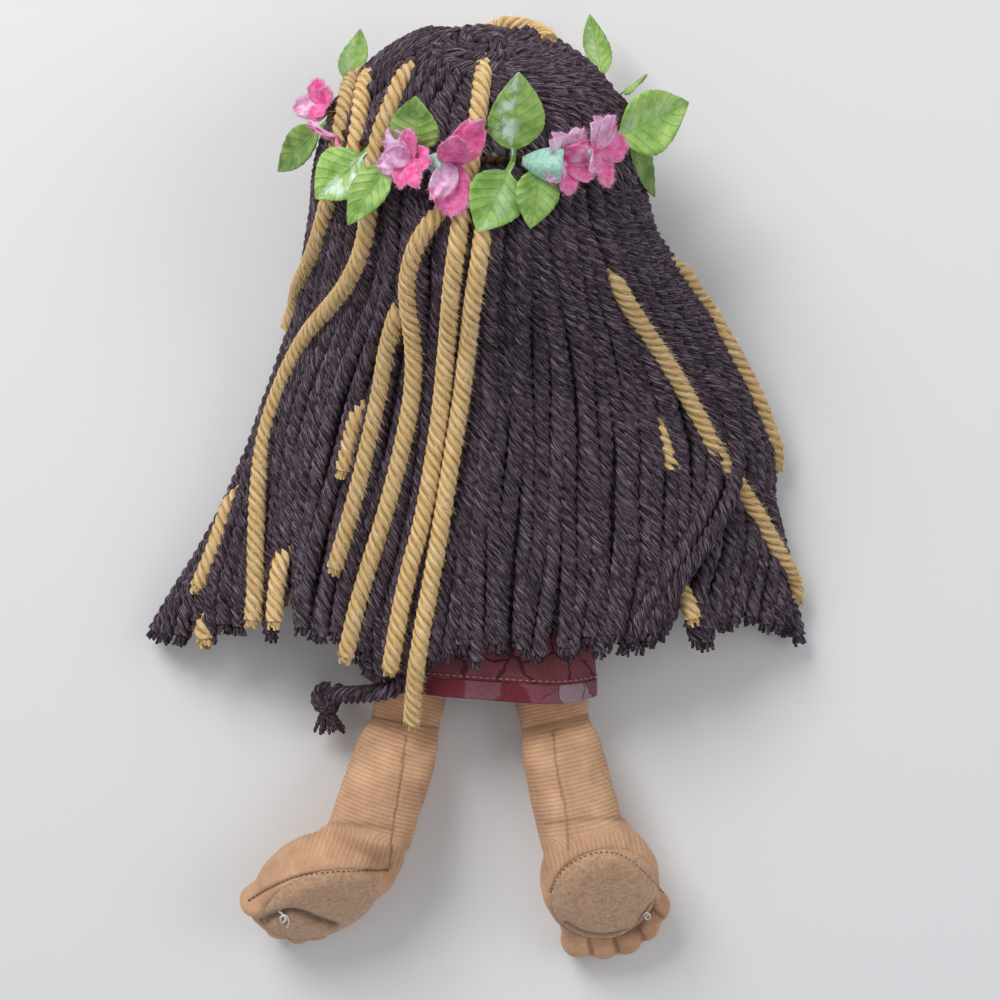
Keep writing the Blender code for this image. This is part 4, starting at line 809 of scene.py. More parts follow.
# Strands that round off the wide lock on the right and cross over the gold one
EDGE_ROUTES_PX = (
    ((706, 372), (719, 402), (728, 432), (730, 464), (725, 494), (712, 523), (697, 549), (680, 574),
     (662, 602), (646, 632)),
    ((694, 382), (706, 412), (713, 442), (714, 470), (708, 498), (696, 526), (681, 552), (665, 578),
     (648, 606), (634, 636)),
)
low_lines = []
for k, route in enumerate(LOW_ROUTES_PX):
    points = gold_points(route, -2.2 - 0.5 * (k % 2))
    low_lines.append(strand_record(points, dice.random(), 0.0, (False, True)))
for k, route in enumerate(EDGE_ROUTES_PX):
    low_lines.append(strand_record(gold_points(route, 3.3 - 2.4 * k), 0.3 + 0.4 * k, 0.0, (False, True)))
hair_low = yarn_piece("hair_loose_strands", low_lines, FULL_YARN)
THIN_PLY = dict(PLAIN_YARN, Radius=0.55 * MM, Pitch=4 * MM, Step=0.8 * MM, Plies=2.0, Groove=0.15, Sides=7)
gold_frays = [line for strand in gold_lower if strand["ends"][1]
              for line in frayed(strand["points"], 12, 1.8 * MM, 2.7 * MM)]
gold_ends = yarn_piece("gold_ends", gold_frays, dict(THIN_PLY, Material=GOLD_YARN))
dark_ends = {}
left_lines += low_lines
for name, lines in (("left", left_lines), ("middle", middle_lines), ("right", right_lines)):
    frays = [line for strand in lines for line in frayed(strand["points"], 7, 2.0 * MM, 3.2 * MM)]
    dark_ends[name] = yarn_piece("dark_ends_" + name, frays, THIN_PLY)

# %% [markdown]
# ## Loose fibres
# Brushed yarn is fuzzy: short fibres lie along the plies and some stand off, which is what makes it
# look soft. A second tree scatters points on the strands and puts a thin bent blade on each, turned
# along the strand with a random share of lift. It is drawn a little thicker than a real fibre,
# because a real one is finer than a pixel here.

# %% Fuzz tree
def fuzz_tree():
    floats = ("Density", "Length", "Width", "Lift")
    tree, add, given = new_tree("brushed_fibres", floats, ("Seed",))
    normal = add("InputNormal")
    up = add("SeparateXYZ", normal, out=2)
    seen = add("Compare GREATER_THAN", up, -0.25)
    spread, out, _ = add("DistributePointsOnFaces", given["Geometry"], seen, given["Density"], given["Seed"],
                         out=None)
    run = add("InputNamedAttribute FLOAT_VECTOR", "run")
    side = add("VectorMath CROSS_PRODUCT", run, out)
    turned = add("VectorMath MULTIPLY_ADD", side, (-0.85, -0.85, -0.85), run)
    stray = add("RandomValue FLOAT_VECTOR", (-0.25, -0.25, -0.25), (0.25, 0.25, 0.25), Seed=given["Seed"])
    turned = add("VectorMath ADD", turned, stray)
    luck = add("RandomValue FLOAT", 0.0, 1.0, Seed=5)
    lift = add("Math MULTIPLY", add("Math POWER", luck, 2.2), given["Lift"])
    raised = add("VectorMath SCALE", out, lift)
    way = add("VectorMath ADD", turned, raised)
    turn = add("AxesToRotation", way, out, primary_axis="Y", secondary_axis="Z")
    blade = add("MeshGrid", 1.0, 1.0, 2, 3)
    x, y, _ = add("SeparateXYZ", add("InputPosition"), out=None)
    reach = add("Math ADD", y, 0.5)
    thin = add("Math MULTIPLY", x, add("Math MULTIPLY", add("Math SUBTRACT", 1.15, reach), given["Width"]))
    long = add("Math MULTIPLY", reach, given["Length"])
    rise = add("Math MULTIPLY", add("Math MULTIPLY", reach, reach),
               add("Math MULTIPLY", given["Length"], 0.28))
    bent = add("CombineXYZ", thin, long, rise)
    blade = add("SetPosition", blade, Position=bent)
    size = add("RandomValue FLOAT", 0.45, 1.25, Seed=9)
    blades = add("InstanceOnPoints", spread, Instance=blade, Rotation=turn, Scale=size)
    blades = add("RealizeInstances", blades)
    close_tree(tree, add("SetMaterial", blades, Material=given["Material"]))
    return tree


FUZZ_TREE = fuzz_tree()


def fibre_material(name, dark, light):
    """Single fibres, each with its own tone between two."""
    material, add, shader = new_material(name, 0.8, Sheen_Weight=0.3)
    geometry = add("NewGeometry", out="Random Per Island")
    coat(shader, add("Mix RGBA", geometry, paint(dark), paint(light)))
    return material


DARK_FIBRE = fibre_material("loose_dark_fibres", "#1d141b", "#a08f9b")
GOLD_FIBRE = fibre_material("loose_gold_fibres", "#c49c58", "#ffeec8")
DARK_FUZZ = {"Density": 250000.0, "Length": 1.5 * MM, "Width": 0.12 * MM, "Lift": 0.5, "Seed": 3,
             "Material": DARK_FIBRE}
GOLD_FUZZ = dict(DARK_FUZZ, Density=850000.0, Length=2.0 * MM, Lift=0.95, Material=GOLD_FIBRE)
fuzz_pieces = []
for piece, values in [(p, DARK_FUZZ) for p in hair_pieces.values()] + [(gold_on_fan, GOLD_FUZZ)]:
    fuzz_pieces.append(("hair", grown(piece, FUZZ_TREE, values, piece.name + "_fuzz", keep_source=True)))
for piece, values in ((hair_upper, DARK_FUZZ), (gold_on_head, GOLD_FUZZ)):
    fuzz_pieces.append(("head", grown(piece, FUZZ_TREE, values, piece.name + "_fuzz", keep_source=True)))

# %% [markdown]
# ## Cap, tail and knot
# A thin near-black cap of felt lies under the strands on the head, and between the strands it shows
# as painted shade. Below the fan one thick dark lock comes out on the left. It ends in a knot: the yarn
# is wound nearly twice round in a flat coil and once over it, and its cut end stands out as a tuft.

# %% Felt cap under the strands
def felt_material(name, dark, light):
    """Pressed wool felt: no weave, only matted fibres, so fine noise makes colour and bump."""
    material, add, shader = new_material(name, 0.95, Sheen_Weight=0.2, Specular_IOR_Level=0.2)
    place = add("TexCoord", out="Object")
    grain = add("TexNoise", place, 1100.0, 4.0, 0.7)
    coat(shader, add("Mix RGBA", add("MapRange", grain, 0.35, 0.65), paint(dark), paint(light)), grain,
         0.4 * MM, 0.7)
    return material


# near-black felt: painted shade where the cap shows between the strands
SHADE_FELT = felt_material("dark_wool_felt", "#150c13", "#2b1f28")
CAP_DEPTH, CAP_WALL = UNDER_DEPTH, 0.7 * MM


def cap_points(depth):
    """Rows of points from the nape over the crown to the whorl, a depth under the hair's face."""
    ends = np.concatenate((np.linspace(NAPE + 0.5 * MM, HEAD_PLACE, 16),
                           np.linspace(HEAD_PLACE + 3 * MM, HEAD_PLACE + HAIR_TOP_REACH * 1.52, 26)))
    rows = []
    for place in ends:
        near = min(1.0, max(0.2, (HEAD_PLACE + HAIR_TOP_REACH * 1.6 - place) / (HAIR_TOP_REACH * 0.3)))
        row = [surface_point(a, place) - hair_normal(a, place) * depth * (0.55 + 0.45 * near)
               for a in np.linspace(-0.99, 0.99, 61)]
        rows.append([p + MIDDLE for p in row])
    return rows


def two_skins(name, outer, inner):
    """A closed thin sheet between two grids of points."""
    rows, columns = len(outer), len(outer[0])
    points = [p for row in outer for p in row] + [p for row in inner for p in row]
    under = rows * columns
    faces = []
    for r in range(rows - 1):
        for c in range(columns - 1):
            quad = (r * columns + c, r * columns + c + 1, (r + 1) * columns + c + 1, (r + 1) * columns + c)
            faces += [quad, tuple(i + under for i in reversed(quad))]
    rim = list(range(columns)) + [r * columns + columns - 1 for r in range(1, rows)]
    rim += [(rows - 1) * columns + c for c in range(columns - 2, -1, -1)]
    rim += [r * columns for r in range(rows - 2, 0, -1)]
    faces += [(b, a, a + under, b + under) for a, b in zip(rim, rim[1:] + rim[:1])]
    piece = sheet_of_points(name, points, faces)
    shape = bmesh.new()
    shape.from_mesh(piece.data)
    bmesh.ops.recalc_face_normals(shape, faces=shape.faces)
    shape.to_mesh(piece.data)
    shape.free()
    piece.data.shade_smooth()
    return piece


cap = two_skins("felt_cap", cap_points(CAP_DEPTH), cap_points(CAP_DEPTH + CAP_WALL))
cap.data.materials.append(SHADE_FELT)

# %% Tail and knot
# the tail's middle line, in millimetres in the doll's frame
TAIL_ROUTE = ((-22.0, -54.0, 31.5), (-25.6, -59.6, 30.4), (-28.6, -61.4, 29.4), (-34.0, -62.6, 27.0),
              (-41.5, -63.6, 20.0), (-47.4, -64.0, 13.6))
KNOT_MIDDLE = Vector((-50.0, -65.5, 10.2)) * MM
tail_line = smooth_line([Vector(p) * MM for p in TAIL_ROUTE])
COIL_STEPS, COIL_TURN, WRAP_STEPS, WRAP_TURN, TUFT_PLIES = 60, radians(640), 32, radians(420), 16
coil = []
for k in range(COIL_STEPS + 1):
    angle = radians(70) + k / COIL_STEPS * COIL_TURN
    reach = (3.9 - 2.9 * k / COIL_STEPS) * MM
    rise = (1.2 + 2.2 * k / COIL_STEPS) * MM
    coil.append(KNOT_MIDDLE + Vector((cos(angle) * reach, sin(angle) * reach * 1.1, rise)))
wrap = []
for k in range(WRAP_STEPS + 1):
    angle = k / WRAP_STEPS * WRAP_TURN
    side = (k / WRAP_STEPS - 0.5) * 5.0 * MM + 2.4 * MM
    wrap.append(KNOT_MIDDLE + Vector((side, cos(angle) * 3.5 * MM, sin(angle) * 3.2 * MM)))
tail_piece = yarn_piece("yarn_tail", [strand_record(tail_line, 0.4)],
                        dict(FULL_YARN, Radius=YARN / 2, Step=0.8 * MM, Sides=20, Plies=5.0))
knot_lines = [strand_record(coil, 0.6), strand_record(wrap, 0.3)]
knot_piece = yarn_piece("yarn_knot", knot_lines,
                        dict(FULL_YARN, Radius=1.45 * MM, Pitch=8 * MM, Step=0.5 * MM, Sides=16))
tuft_lines = []
for k in range(TUFT_PLIES):
    turn = 2 * pi * k / TUFT_PLIES
    start = KNOT_MIDDLE + Vector((cos(turn) * 1.0 * MM, -2.5 * MM, sin(turn) * 1.0 * MM - 1 * MM))
    sideways, down = cos(turn) * dice.uniform(1.5, 4.2) + 1.2, -dice.uniform(6.5, 9.5)
    flare = Vector((sideways, down, sin(turn) * dice.uniform(1.0, 3.0) - 1)) * MM
    middle = start + flare * 0.45 + Vector((0, 0, 1 * MM))
    tuft_lines.append(strand_record(smooth_line([start, middle, start + flare]), dice.random()))
TUFT_YARN = dict(PLAIN_YARN, Radius=0.55 * MM, Pitch=4 * MM, Step=0.6 * MM, Plies=2.0, Groove=0.2)
tuft_piece = yarn_piece("yarn_tuft", tuft_lines, TUFT_YARN)
for piece in (tail_piece, knot_piece):
    fuzz_pieces.append(("tail", grown(piece, FUZZ_TREE, DARK_FUZZ, piece.name + "_fuzz", keep_source=True)))

# %% [markdown]
# At the whorl the strands start in a small flat spiral of three rounds that covers the cap's seam.

# %% Whorl
WHORL_PLACE = HEAD_PLACE + HAIR_TOP_REACH * 1.5707
WHORL_STEPS, WHORL_RINGS, WHORL_GAP, HEAD_CURVE = 48, 3, 4.2, 44 * MM
whorl_out = Vector((0, cos(WHORL_TILT), sin(WHORL_TILT)))
whorl_side = Vector((1, 0, 0))
whorl_up = whorl_out.cross(whorl_side)
whorl_middle = surface_point(0, WHORL_PLACE)
whorl_lines = []
for ring in range(WHORL_RINGS):
    line = []
    for k in range(WHORL_STEPS + 1):
        angle = radians(-60 + k * 360 / WHORL_STEPS)
        reach = (1.6 + ring * WHORL_GAP + k / WHORL_STEPS * WHORL_GAP) * MM
        fall = reach ** 2 / (2 * HEAD_CURVE)
        way = whorl_side * cos(angle) + whorl_up * sin(angle)
        line.append(whorl_middle + way * reach - whorl_out * (fall + 1.4 * MM))
    whorl_lines.append(strand_record(line, 0.4 + 0.2 * ring))
whorl = yarn_piece("hair_whorl", whorl_lines, FULL_YARN)
fuzz_pieces.append(("head", grown(whorl, FUZZ_TREE, DARK_FUZZ, "hair_whorl_fuzz", keep_source=True)))

# %% [markdown]
# Each piece of hair is baked in place and hides the solids of the frame that it stands for. The tail,
# the knot and the tuft are hung on the hair's body.

# %% Hair on its bodies
def belongs(piece, body, slot, *nodes):
    """Says which body carries a piece and which solids it stands for. Its slot, the finish, is not used."""
    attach(piece, body)
    if nodes:
        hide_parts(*nodes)


def carry_hair(piece, body, slot, *nodes):
    """Bakes a piece of hair in place and hides the solids that it stands for. Its body and slot are not used.
    """
    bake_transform(piece)
    if nodes:
        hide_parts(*nodes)


carry_hair(hair_upper, "head", "dark_yarn", "hair_cap")
for node, piece in hair_pieces.items():
    carry_hair(piece, "hair", "dark_yarn", node)
for piece in under_pieces.values():
    carry_hair(piece, "hair", "dark_yarn")
gold_top = [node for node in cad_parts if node.startswith("gold_top")]
gold_strand = [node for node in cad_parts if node.startswith("gold_strand")]
carry_hair(gold_on_head, "head", "gold_yarn", *gold_top)
carry_hair(gold_on_fan, "hair", "gold_yarn", *gold_strand)
for where, piece in fuzz_pieces:
    slot = "gold_yarn" if piece.name.startswith("gold") else "dark_yarn"
    if where == "tail":
        belongs(piece, "hair", slot)
    else:
        carry_hair(piece, where, slot)
carry_hair(cap, "head", "dark_yarn")
carry_hair(whorl, "head", "dark_yarn")
carry_hair(gold_ends, "hair", "gold_yarn")
for piece in (hair_low, *dark_ends.values()):
    carry_hair(piece, "hair", "dark_yarn")
belongs(tail_piece, "hair", "dark_yarn", "hair_tail")
belongs(knot_piece, "hair", "dark_yarn", "tail_knot")
belongs(tuft_piece, "hair", "dark_yarn")

# %% [markdown]
# ## Stuffed limbs
# Arms, legs, torso and head are skins of brushed knit, filled with fibre. The frame has them as plain
# faceted solids of the right size. A fine, even remesh of each, relaxed until the facets are gone,
# gives the round, slightly lumpy form of stuffing, and its small faces leave room for creases.

# %% Relaxed copies of the stuffed pieces
def mesh_arrays(piece):
    """Points, edges and point normals of a mesh as arrays."""
    mesh = piece.data
    points = np.empty(len(mesh.vertices) * 3)
    mesh.vertices.foreach_get("co", points)
    edges = np.empty(len(mesh.edges) * 2, dtype=np.int64)
    mesh.edges.foreach_get("vertices", edges)
    normals = np.empty(len(mesh.vertices) * 3)
    mesh.vertices.foreach_get("normal", normals)
    return points.reshape(-1, 3), edges.reshape(-1, 2), normals.reshape(-1, 3)


def set_points(piece, points):
    piece.data.vertices.foreach_set("co", np.ascontiguousarray(points, dtype=np.float64).ravel())
    piece.data.update()


def relaxed(points, edges, rounds, strength=0.5):
    """Points moved towards the mean of their neighbours, several times."""
    count = np.bincount(edges.ravel(), minlength=len(points)).astype(float)
    for _ in range(rounds):
        total = np.empty_like(points)
        for axis in range(3):
            total[:, axis] = (np.bincount(edges[:, 0], points[edges[:, 1], axis], len(points))
                              + np.bincount(edges[:, 1], points[edges[:, 0], axis], len(points)))
        points = points + (total / count[:, None] - points) * strength
    return points


def point_at(pixel, height):
    """The point at a height over the table that the photograph's camera sees at a pixel."""
    scale = (CAMERA_HEIGHT - height) / FOCAL_PX
    off = (pixel[0] - PICTURE_WIDTH / 2) * scale, (pixel[1] - PICTURE_WIDTH / 2) * scale
    return Vector((VIEW_MIDDLE.x + off[0], VIEW_MIDDLE.y - off[1], height))


def soft_copy(node, name, voxel, rounds, swell, lumps=()):
    """A fine rounded copy of a CAD solid with small lumps of filling added, pushed out a little
    to make up for the rounding."""
    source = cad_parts[node]
    shape = bmesh.new()
    shape.from_mesh(source.data)
    bmesh.ops.remove_doubles(shape, verts=shape.verts, dist=0.01 * MM)
    for pixel, height, sizes in lumps:
        place = Matrix.Translation(point_at(pixel, height * MM))
        size = Matrix.Diagonal((sizes[0] * MM, sizes[1] * MM, sizes[2] * MM, 1.0))
        bmesh.ops.create_icosphere(shape, subdivisions=3, radius=1.0, matrix=place @ size)
    mesh = bpy.data.meshes.new(name)
    shape.to_mesh(mesh)
    shape.free()
    rough = in_scene(name + "_rough", mesh)
    modifier = rough.modifiers.new("even", "REMESH")
    modifier.mode = "VOXEL"
    modifier.voxel_size = voxel
    bpy.context.view_layer.update()
    even = bpy.data.meshes.new_from_object(rough.evaluated_get(bpy.context.evaluated_depsgraph_get()))
    bpy.data.objects.remove(rough)
    even.name = name
    even.materials.clear()
    piece = in_scene(name, even)
    points, edges, _ = mesh_arrays(piece)
    set_points(piece, relaxed(points, edges, rounds))
    points, edges, normals = mesh_arrays(piece)
    lump = np.array([noise.noise(Vector(p) * 90) + 0.5 * noise.noise(Vector(p) * 210) for p in points])
    points = points + normals * (swell + lump * 0.35 * MM)[:, None]
    points[:, 2] = np.maximum(points[:, 2], 0.05 * MM)
    set_points(piece, points)
    even.shade_smooth()
    return piece


def point_values(piece, key, values):
    """Writes one number, or one vector, for each point of a mesh."""
    kind = "FLOAT" if values.ndim == 1 else "FLOAT_VECTOR"
    field = piece.data.attributes.new(key, kind, "POINT")
    field.data.foreach_set("value" if values.ndim == 1 else "vector",
                           np.ascontiguousarray(values, dtype=np.float32).ravel())


def seen_at(tree, pixel):
    """The point and normal of a surface that the photograph's camera sees at a pixel."""
    eye = VIEW_MIDDLE + Vector((0, 0, CAMERA_HEIGHT))
    off = (pixel[0] - PICTURE_WIDTH / 2) / FOCAL_PX, (pixel[1] - PICTURE_WIDTH / 2) / FOCAL_PX
    ray = Vector((off[0], -off[1], -1)).normalized()
    hit, normal, _, _ = tree.ray_cast(eye, ray)
    return hit, normal


def surface_tree(piece):
    return BVHTree.FromPolygons([v.co for v in piece.data.vertices],
                                [p.vertices for p in piece.data.polygons])


def route_on(tree, pixels, step=3.0):
    """A pixel route laid on a surface, as points and normals; pixels that miss it are left out."""
    found = []
    for pixel in smooth_line(pixels, step=step):
        shake = Vector((noise.noise(Vector((pixel[1] * 0.11, 0, 0))),
                        noise.noise(Vector((pixel[0] * 0.11, 5, 0)))))
        found.append(seen_at(tree, pixel + shake * 1.1))
    return [(point, normal) for point, normal in found if point is not None]


def distance_to_route(points, route):
    """Distance of each point to a line through route points."""
    best = np.full(len(points), 1.0)
    for (a, _), (b, _) in zip(route, route[1:]):
        start, way = np.array(a), np.array(b - a)
        share = np.clip(((points - start) @ way) / max(way @ way, 1e-12), 0, 1)
        best = np.minimum(best, np.linalg.norm(points - start - share[:, None] * way, axis=1))
    return best


# %% [markdown]
# ## Seams, creases and toes
# What makes the legs read as sewn is small: the dark seam down the back of each leg, the knee seam,
# the edge of the sole panel, and the folds between the toes. Each is a pixel route laid on the form.
# Points near it are pressed in, and how near they are is kept for the material, which paints them
# darker: painted shade in the creases and folds, and along the seams partly painted shade.

# %% Lower legs and thigh ends
# each route in pixels, then its half-width and depth in millimetres, and how much it is painted
# darker, mostly as painted shade
LEG_SEAMS_PX = {
    "left": {
        "back_seam": (((406, 735), (403, 765), (399, 795), (394, 825), (391, 850), (390, 868)), 0.36, 0.4,
                      0.6),
        "instep": (((300, 828), (280, 843), (261, 863)), 5.5, 2.3, 0.0),
        "ankle_line": (((322, 822), (345, 824), (370, 826), (394, 829)), 0.9, 0.25, 0.35),
        "sole_seam": (((249, 900), (262, 892), (282, 882), (300, 876), (330, 872), (360, 871), (388, 870)),
                      0.5, 0.6, 0.7),
        "toe_crease": (((262, 922), (275, 917), (290, 912), (304, 915), (318, 921), (334, 926)), 1.7, 1.5,
                       0.9),
        "toe_fold": (((290, 914), (286, 926), (288, 940)), 1.3, 0.8, 0.5),
        "toe_fold_2": (((308, 920), (307, 932), (310, 944)), 1.3, 0.7, 0.45),
    },
    "right": {
        "back_seam": (((547, 708), (553, 735), (556, 765), (561, 790), (566, 815), (568, 850)), 0.36, 0.4,
                      0.6),
        "ankle_line": (((545, 824), (575, 820), (605, 818), (627, 820)), 0.9, 0.25, 0.35),
        "sole_seam": (((551, 892), (560, 874), (575, 861), (595, 853), (615, 853), (632, 861), (648, 876),
                       (663, 892)), 0.5, 0.6, 0.7),
        "toe_crease": (((566, 924), (580, 932), (598, 936), (618, 934), (634, 928), (644, 916), (654, 902)),
                       1.4, 1.1, 0.65),
        "toe_fold": (((589, 933), (590, 945), (592, 958)), 0.8, 0.5, 0.6),
        "toe_fold_2": (((614, 934), (616, 946), (619, 958)), 0.8, 0.5, 0.6),
        "toe_fold_3": (((637, 927), (643, 937), (647, 948)), 0.8, 0.5, 0.6),
        "toe_fold_4": (((652, 910), (661, 917), (669, 924)), 0.8, 0.8, 0.7),
        "loose_thread": (((602, 770), (610, 781), (618, 790)), 0.4, 0.15, 0.4),
    },
}
# where each leg starts and where its foot ends, in millimetres in the doll's frame
LEG_AXES = {"left": ((-24.25, -73.0), (-36.0, -109.0)), "right": ((24.25, -73.0), (32.6, -109.2))}


def press_seams(piece, seams):
    """Presses each route into the form and returns how much each point is painted darker, mostly as painted
    shade in seams and creases.
    """
    tree = surface_tree(piece)
    points, _, normals = mesh_arrays(piece)
    depth, shade = np.zeros(len(points)), np.zeros(len(points))
    for route, width, press, dark in seams.values():
        line = route_on(tree, route)
        if len(line) < 2:
            continue
        near = np.exp(-(distance_to_route(points, line) / (width * MM)) ** 2)
        depth = np.maximum(depth, near * press * MM)
        shade = np.maximum(shade, near * dark)
    set_points(piece, points - normals * depth[:, None])
    return shade


LEG_RADIUS, FOOT_START = 13 * MM, 33 * MM


def knit_places(piece, side):
    """Where each point lies in the knit: along the leg, round it, and how far it is into the foot."""
    points, _, _ = mesh_arrays(piece)
    (x0, y0), (x1, y1) = LEG_AXES[side]
    start = np.array((x0 * MM + MIDDLE.x, y0 * MM + MIDDLE.y))
    way = np.array((x1 - x0, y1 - y0)) * MM
    length = np.linalg.norm(way)
    way = way / length
    flat = points[:, :2] - start
    along = flat @ way
    across = flat @ np.array((-way[1], way[0]))
    around = np.arctan2(across, points[:, 2] - LEG_RADIUS) * LEG_RADIUS
    foot = np.clip((along - FOOT_START) / (3 * MM), 0, 1)
    return np.column_stack((along, around * (1 - foot) + across * foot, foot))


def reach_seam(piece, side, above):
    """Stretches the end of a limb back to the knee seam, from which relaxing has drawn it away."""
    middle, _, forward = knee_frame(side)
    points, _, _ = mesh_arrays(piece)
    along = (points - np.array(middle)) @ np.array(forward) * (-1 if above else 1)
    near = np.clip(1 - along / (7 * MM), 0, 1)
    gap = along.min() - 0.25 * MM
    pull = np.array(forward) * (1 if above else -1)
    set_points(piece, points + pull * (gap * near ** 1.5)[:, None])
    return gap


KNEE_TILT = {"left": radians(-9.6), "right": radians(13.0)}
KNEE_PLACES = {"left": Vector((-24.25, -73.0, 13.4)) * MM, "right": Vector((24.25, -73.0, 13.4)) * MM}


def knee_frame(side):
    """The knee's middle, the direction of its seam and the direction of the leg there."""
    tilt = KNEE_TILT[side]
    return KNEE_PLACES[side] + MIDDLE, Vector((cos(tilt), sin(tilt), 0)), Vector((sin(tilt), -cos(tilt), 0))


STRIP_ROWS, STRIP_COLUMNS, STRIP_WALL, STRIP_LENGTH = 16, 48, 0.8 * MM, 11 * MM


def knee_strip(side):
    """The flat seam allowance of a stitched knee: both skins pressed together in a soft fold."""
    middle, seam, forward = knee_frame(side)
    skins = []
    for wall in (0.0, STRIP_WALL):
        rows = []
        for k in range(STRIP_ROWS + 1):
            along = (k / STRIP_ROWS - 0.5) * STRIP_LENGTH
            swell = min(1.0, abs(along) / (5.5 * MM))
            depth = (1.5 + 4.2 * swell ** 1.3) * MM - wall
            half = (11.15 - 0.5 * swell) * MM - wall
            ring = []
            for c in range(STRIP_COLUMNS + 1):
                a = 2 * pi * c / STRIP_COLUMNS
                ring.append(middle + forward * along + seam * (half * cos(a))
                            + Vector((0, 0, depth * sin(a))))
            rows.append(ring)
        skins.append(rows)
    strip = two_skins("knee_seam_" + side, skins[0], skins[1])
    points, _, _ = mesh_arrays(strip)
    away = np.abs((points - np.array(middle)) @ np.array(forward))
    # a thin dark line along the fold of the knee seam: painted shade where the two skins meet
    point_values(strip, "seam", 0.6 * np.exp(-(away / (0.45 * MM)) ** 2))
    point_values(strip, "knit", knit_places(strip, side))
    return strip


SOLE_TOES = {"left": Vector((-0.70, -0.55, -0.46)), "right": Vector((0.25, -0.72, -0.64))}
SOLE_OUT = {"left": Vector((0.20, -0.75, 0.62)), "right": Vector((0.21, -0.60, 0.77))}
SOLE_HALF_LENGTH, SOLE_HALF_WIDTH = 21.5 * MM, 17.5 * MM


def sink_rim(sole, side):
    """Turns the panel's edge down into the foot, so that it ends in a seam and not in a step."""
    toes = SOLE_TOES[side].normalized()
    out = (SOLE_OUT[side] - toes * SOLE_OUT[side].dot(toes)).normalized()
    across = toes.cross(out)
    points, _, _ = mesh_arrays(sole)
    middle = points.mean(axis=0)
    lengthwise = (points - middle) @ np.array(toes) / SOLE_HALF_LENGTH
    share = np.hypot(lengthwise, (points - middle) @ np.array(across) / SOLE_HALF_WIDTH)
    toeward = np.clip(lengthwise, 0, 1)
    fall = np.clip((share - 0.72) / 0.28, 0, 1.2) ** 2 * (1.7 + 1.1 * toeward) * MM
    set_points(sole, points - np.array(out) * fall[:, None])


# pixel, height and half-sizes in millimetres of each toe and of the filling at the ankle
LUMPS = {
    "left": (((279, 926), 8, (4.8, 4.4, 5.5)), ((298, 931), 7, (4.8, 4.4, 5.0)),
             ((317, 928), 7.5, (4.6, 4.2, 5.0)), ((374, 868), 17, (7.5, 9.5, 9)),
             ((386, 852), 16, (6.0, 9.0, 8.5)), ((349, 856), 14.5, (8.0, 9.0, 9.0))),
    "right": (((579, 938), 8, (6.0, 6.2, 7)), ((603, 941), 7.5, (5.8, 6.0, 7)),
              ((626, 936), 8, (5.6, 6.0, 7)), ((645, 924), 9.5, (5.0, 5.6, 7)),
              ((656, 906), 12, (4.8, 5.2, 7)), ((596, 838), 22, (12.5, 9, 9))),
}
legs = {}
for side in ("left", "right"):
    leg = soft_copy("lower_leg_" + side, "lower_leg_knit_" + side, 0.55 * MM, 16, 0.15 * MM, LUMPS[side])
    gap = reach_seam(leg, side, False)
    shade = press_seams(leg, LEG_SEAMS_PX[side])
    point_values(leg, "seam", shade)
    point_values(leg, "knit", knit_places(leg, side))
    thigh = soft_copy("thigh_" + side, "thigh_knit_" + side, 0.7 * MM, 16, 0.1 * MM)
    reach_seam(thigh, side, True)
    print(side, "knee was", round(gap * 1000, 2), "mm open")
    point_values(thigh, "seam", np.zeros(len(thigh.data.vertices)))
    point_values(thigh, "knit", knit_places(thigh, side))
    sole = soft_copy("sole_" + side, "sole_panel_" + side, 0.55 * MM, 10, 0.1 * MM)
    sink_rim(sole, side)
    # the toe crease darkens the sole too: painted shade
    shade = press_seams(sole, {k: v for k, v in LEG_SEAMS_PX[side].items() if k == "toe_crease"})
    point_values(sole, "seam", shade)
    legs[side] = (leg, thigh, sole)
    print(side, "leg has", len(leg.data.polygons), "faces, sole", len(sole.data.polygons))

# %% [markdown]
# ## Brushed knit
# The skin is a thin polyester jersey: rows of loops on the shins, ribs at the ankle, and the brushed,
# grainy reverse of the cloth on the soles. It is matt with a soft sheen. Real loops are about 0.8 mm
# apart, too fine to show here, so rows and ribs are drawn coarser, at 1.3 and 1.55 mm. They follow
# the leg by the places kept on each point. The tan is warmer and greyer in patches. Seams and creases
# are painted darker: in the creases and toe folds that is painted shade, along the seams partly the
# seam's own line and partly painted shade.

# %% Knit material
KNIT_ROW, KNIT_WALE, ANKLE_RIB = 1.30 * MM, 1.05 * MM, 1.55 * MM


def wave(add, value, length, sharp=1.0):
    """0 to 1 and back, once in each length."""
    turn = add("Math MULTIPLY", value, 2 * pi / length)
    return add("Math MULTIPLY_ADD", add("Math SINE", turn), 0.5 * sharp, 0.5)


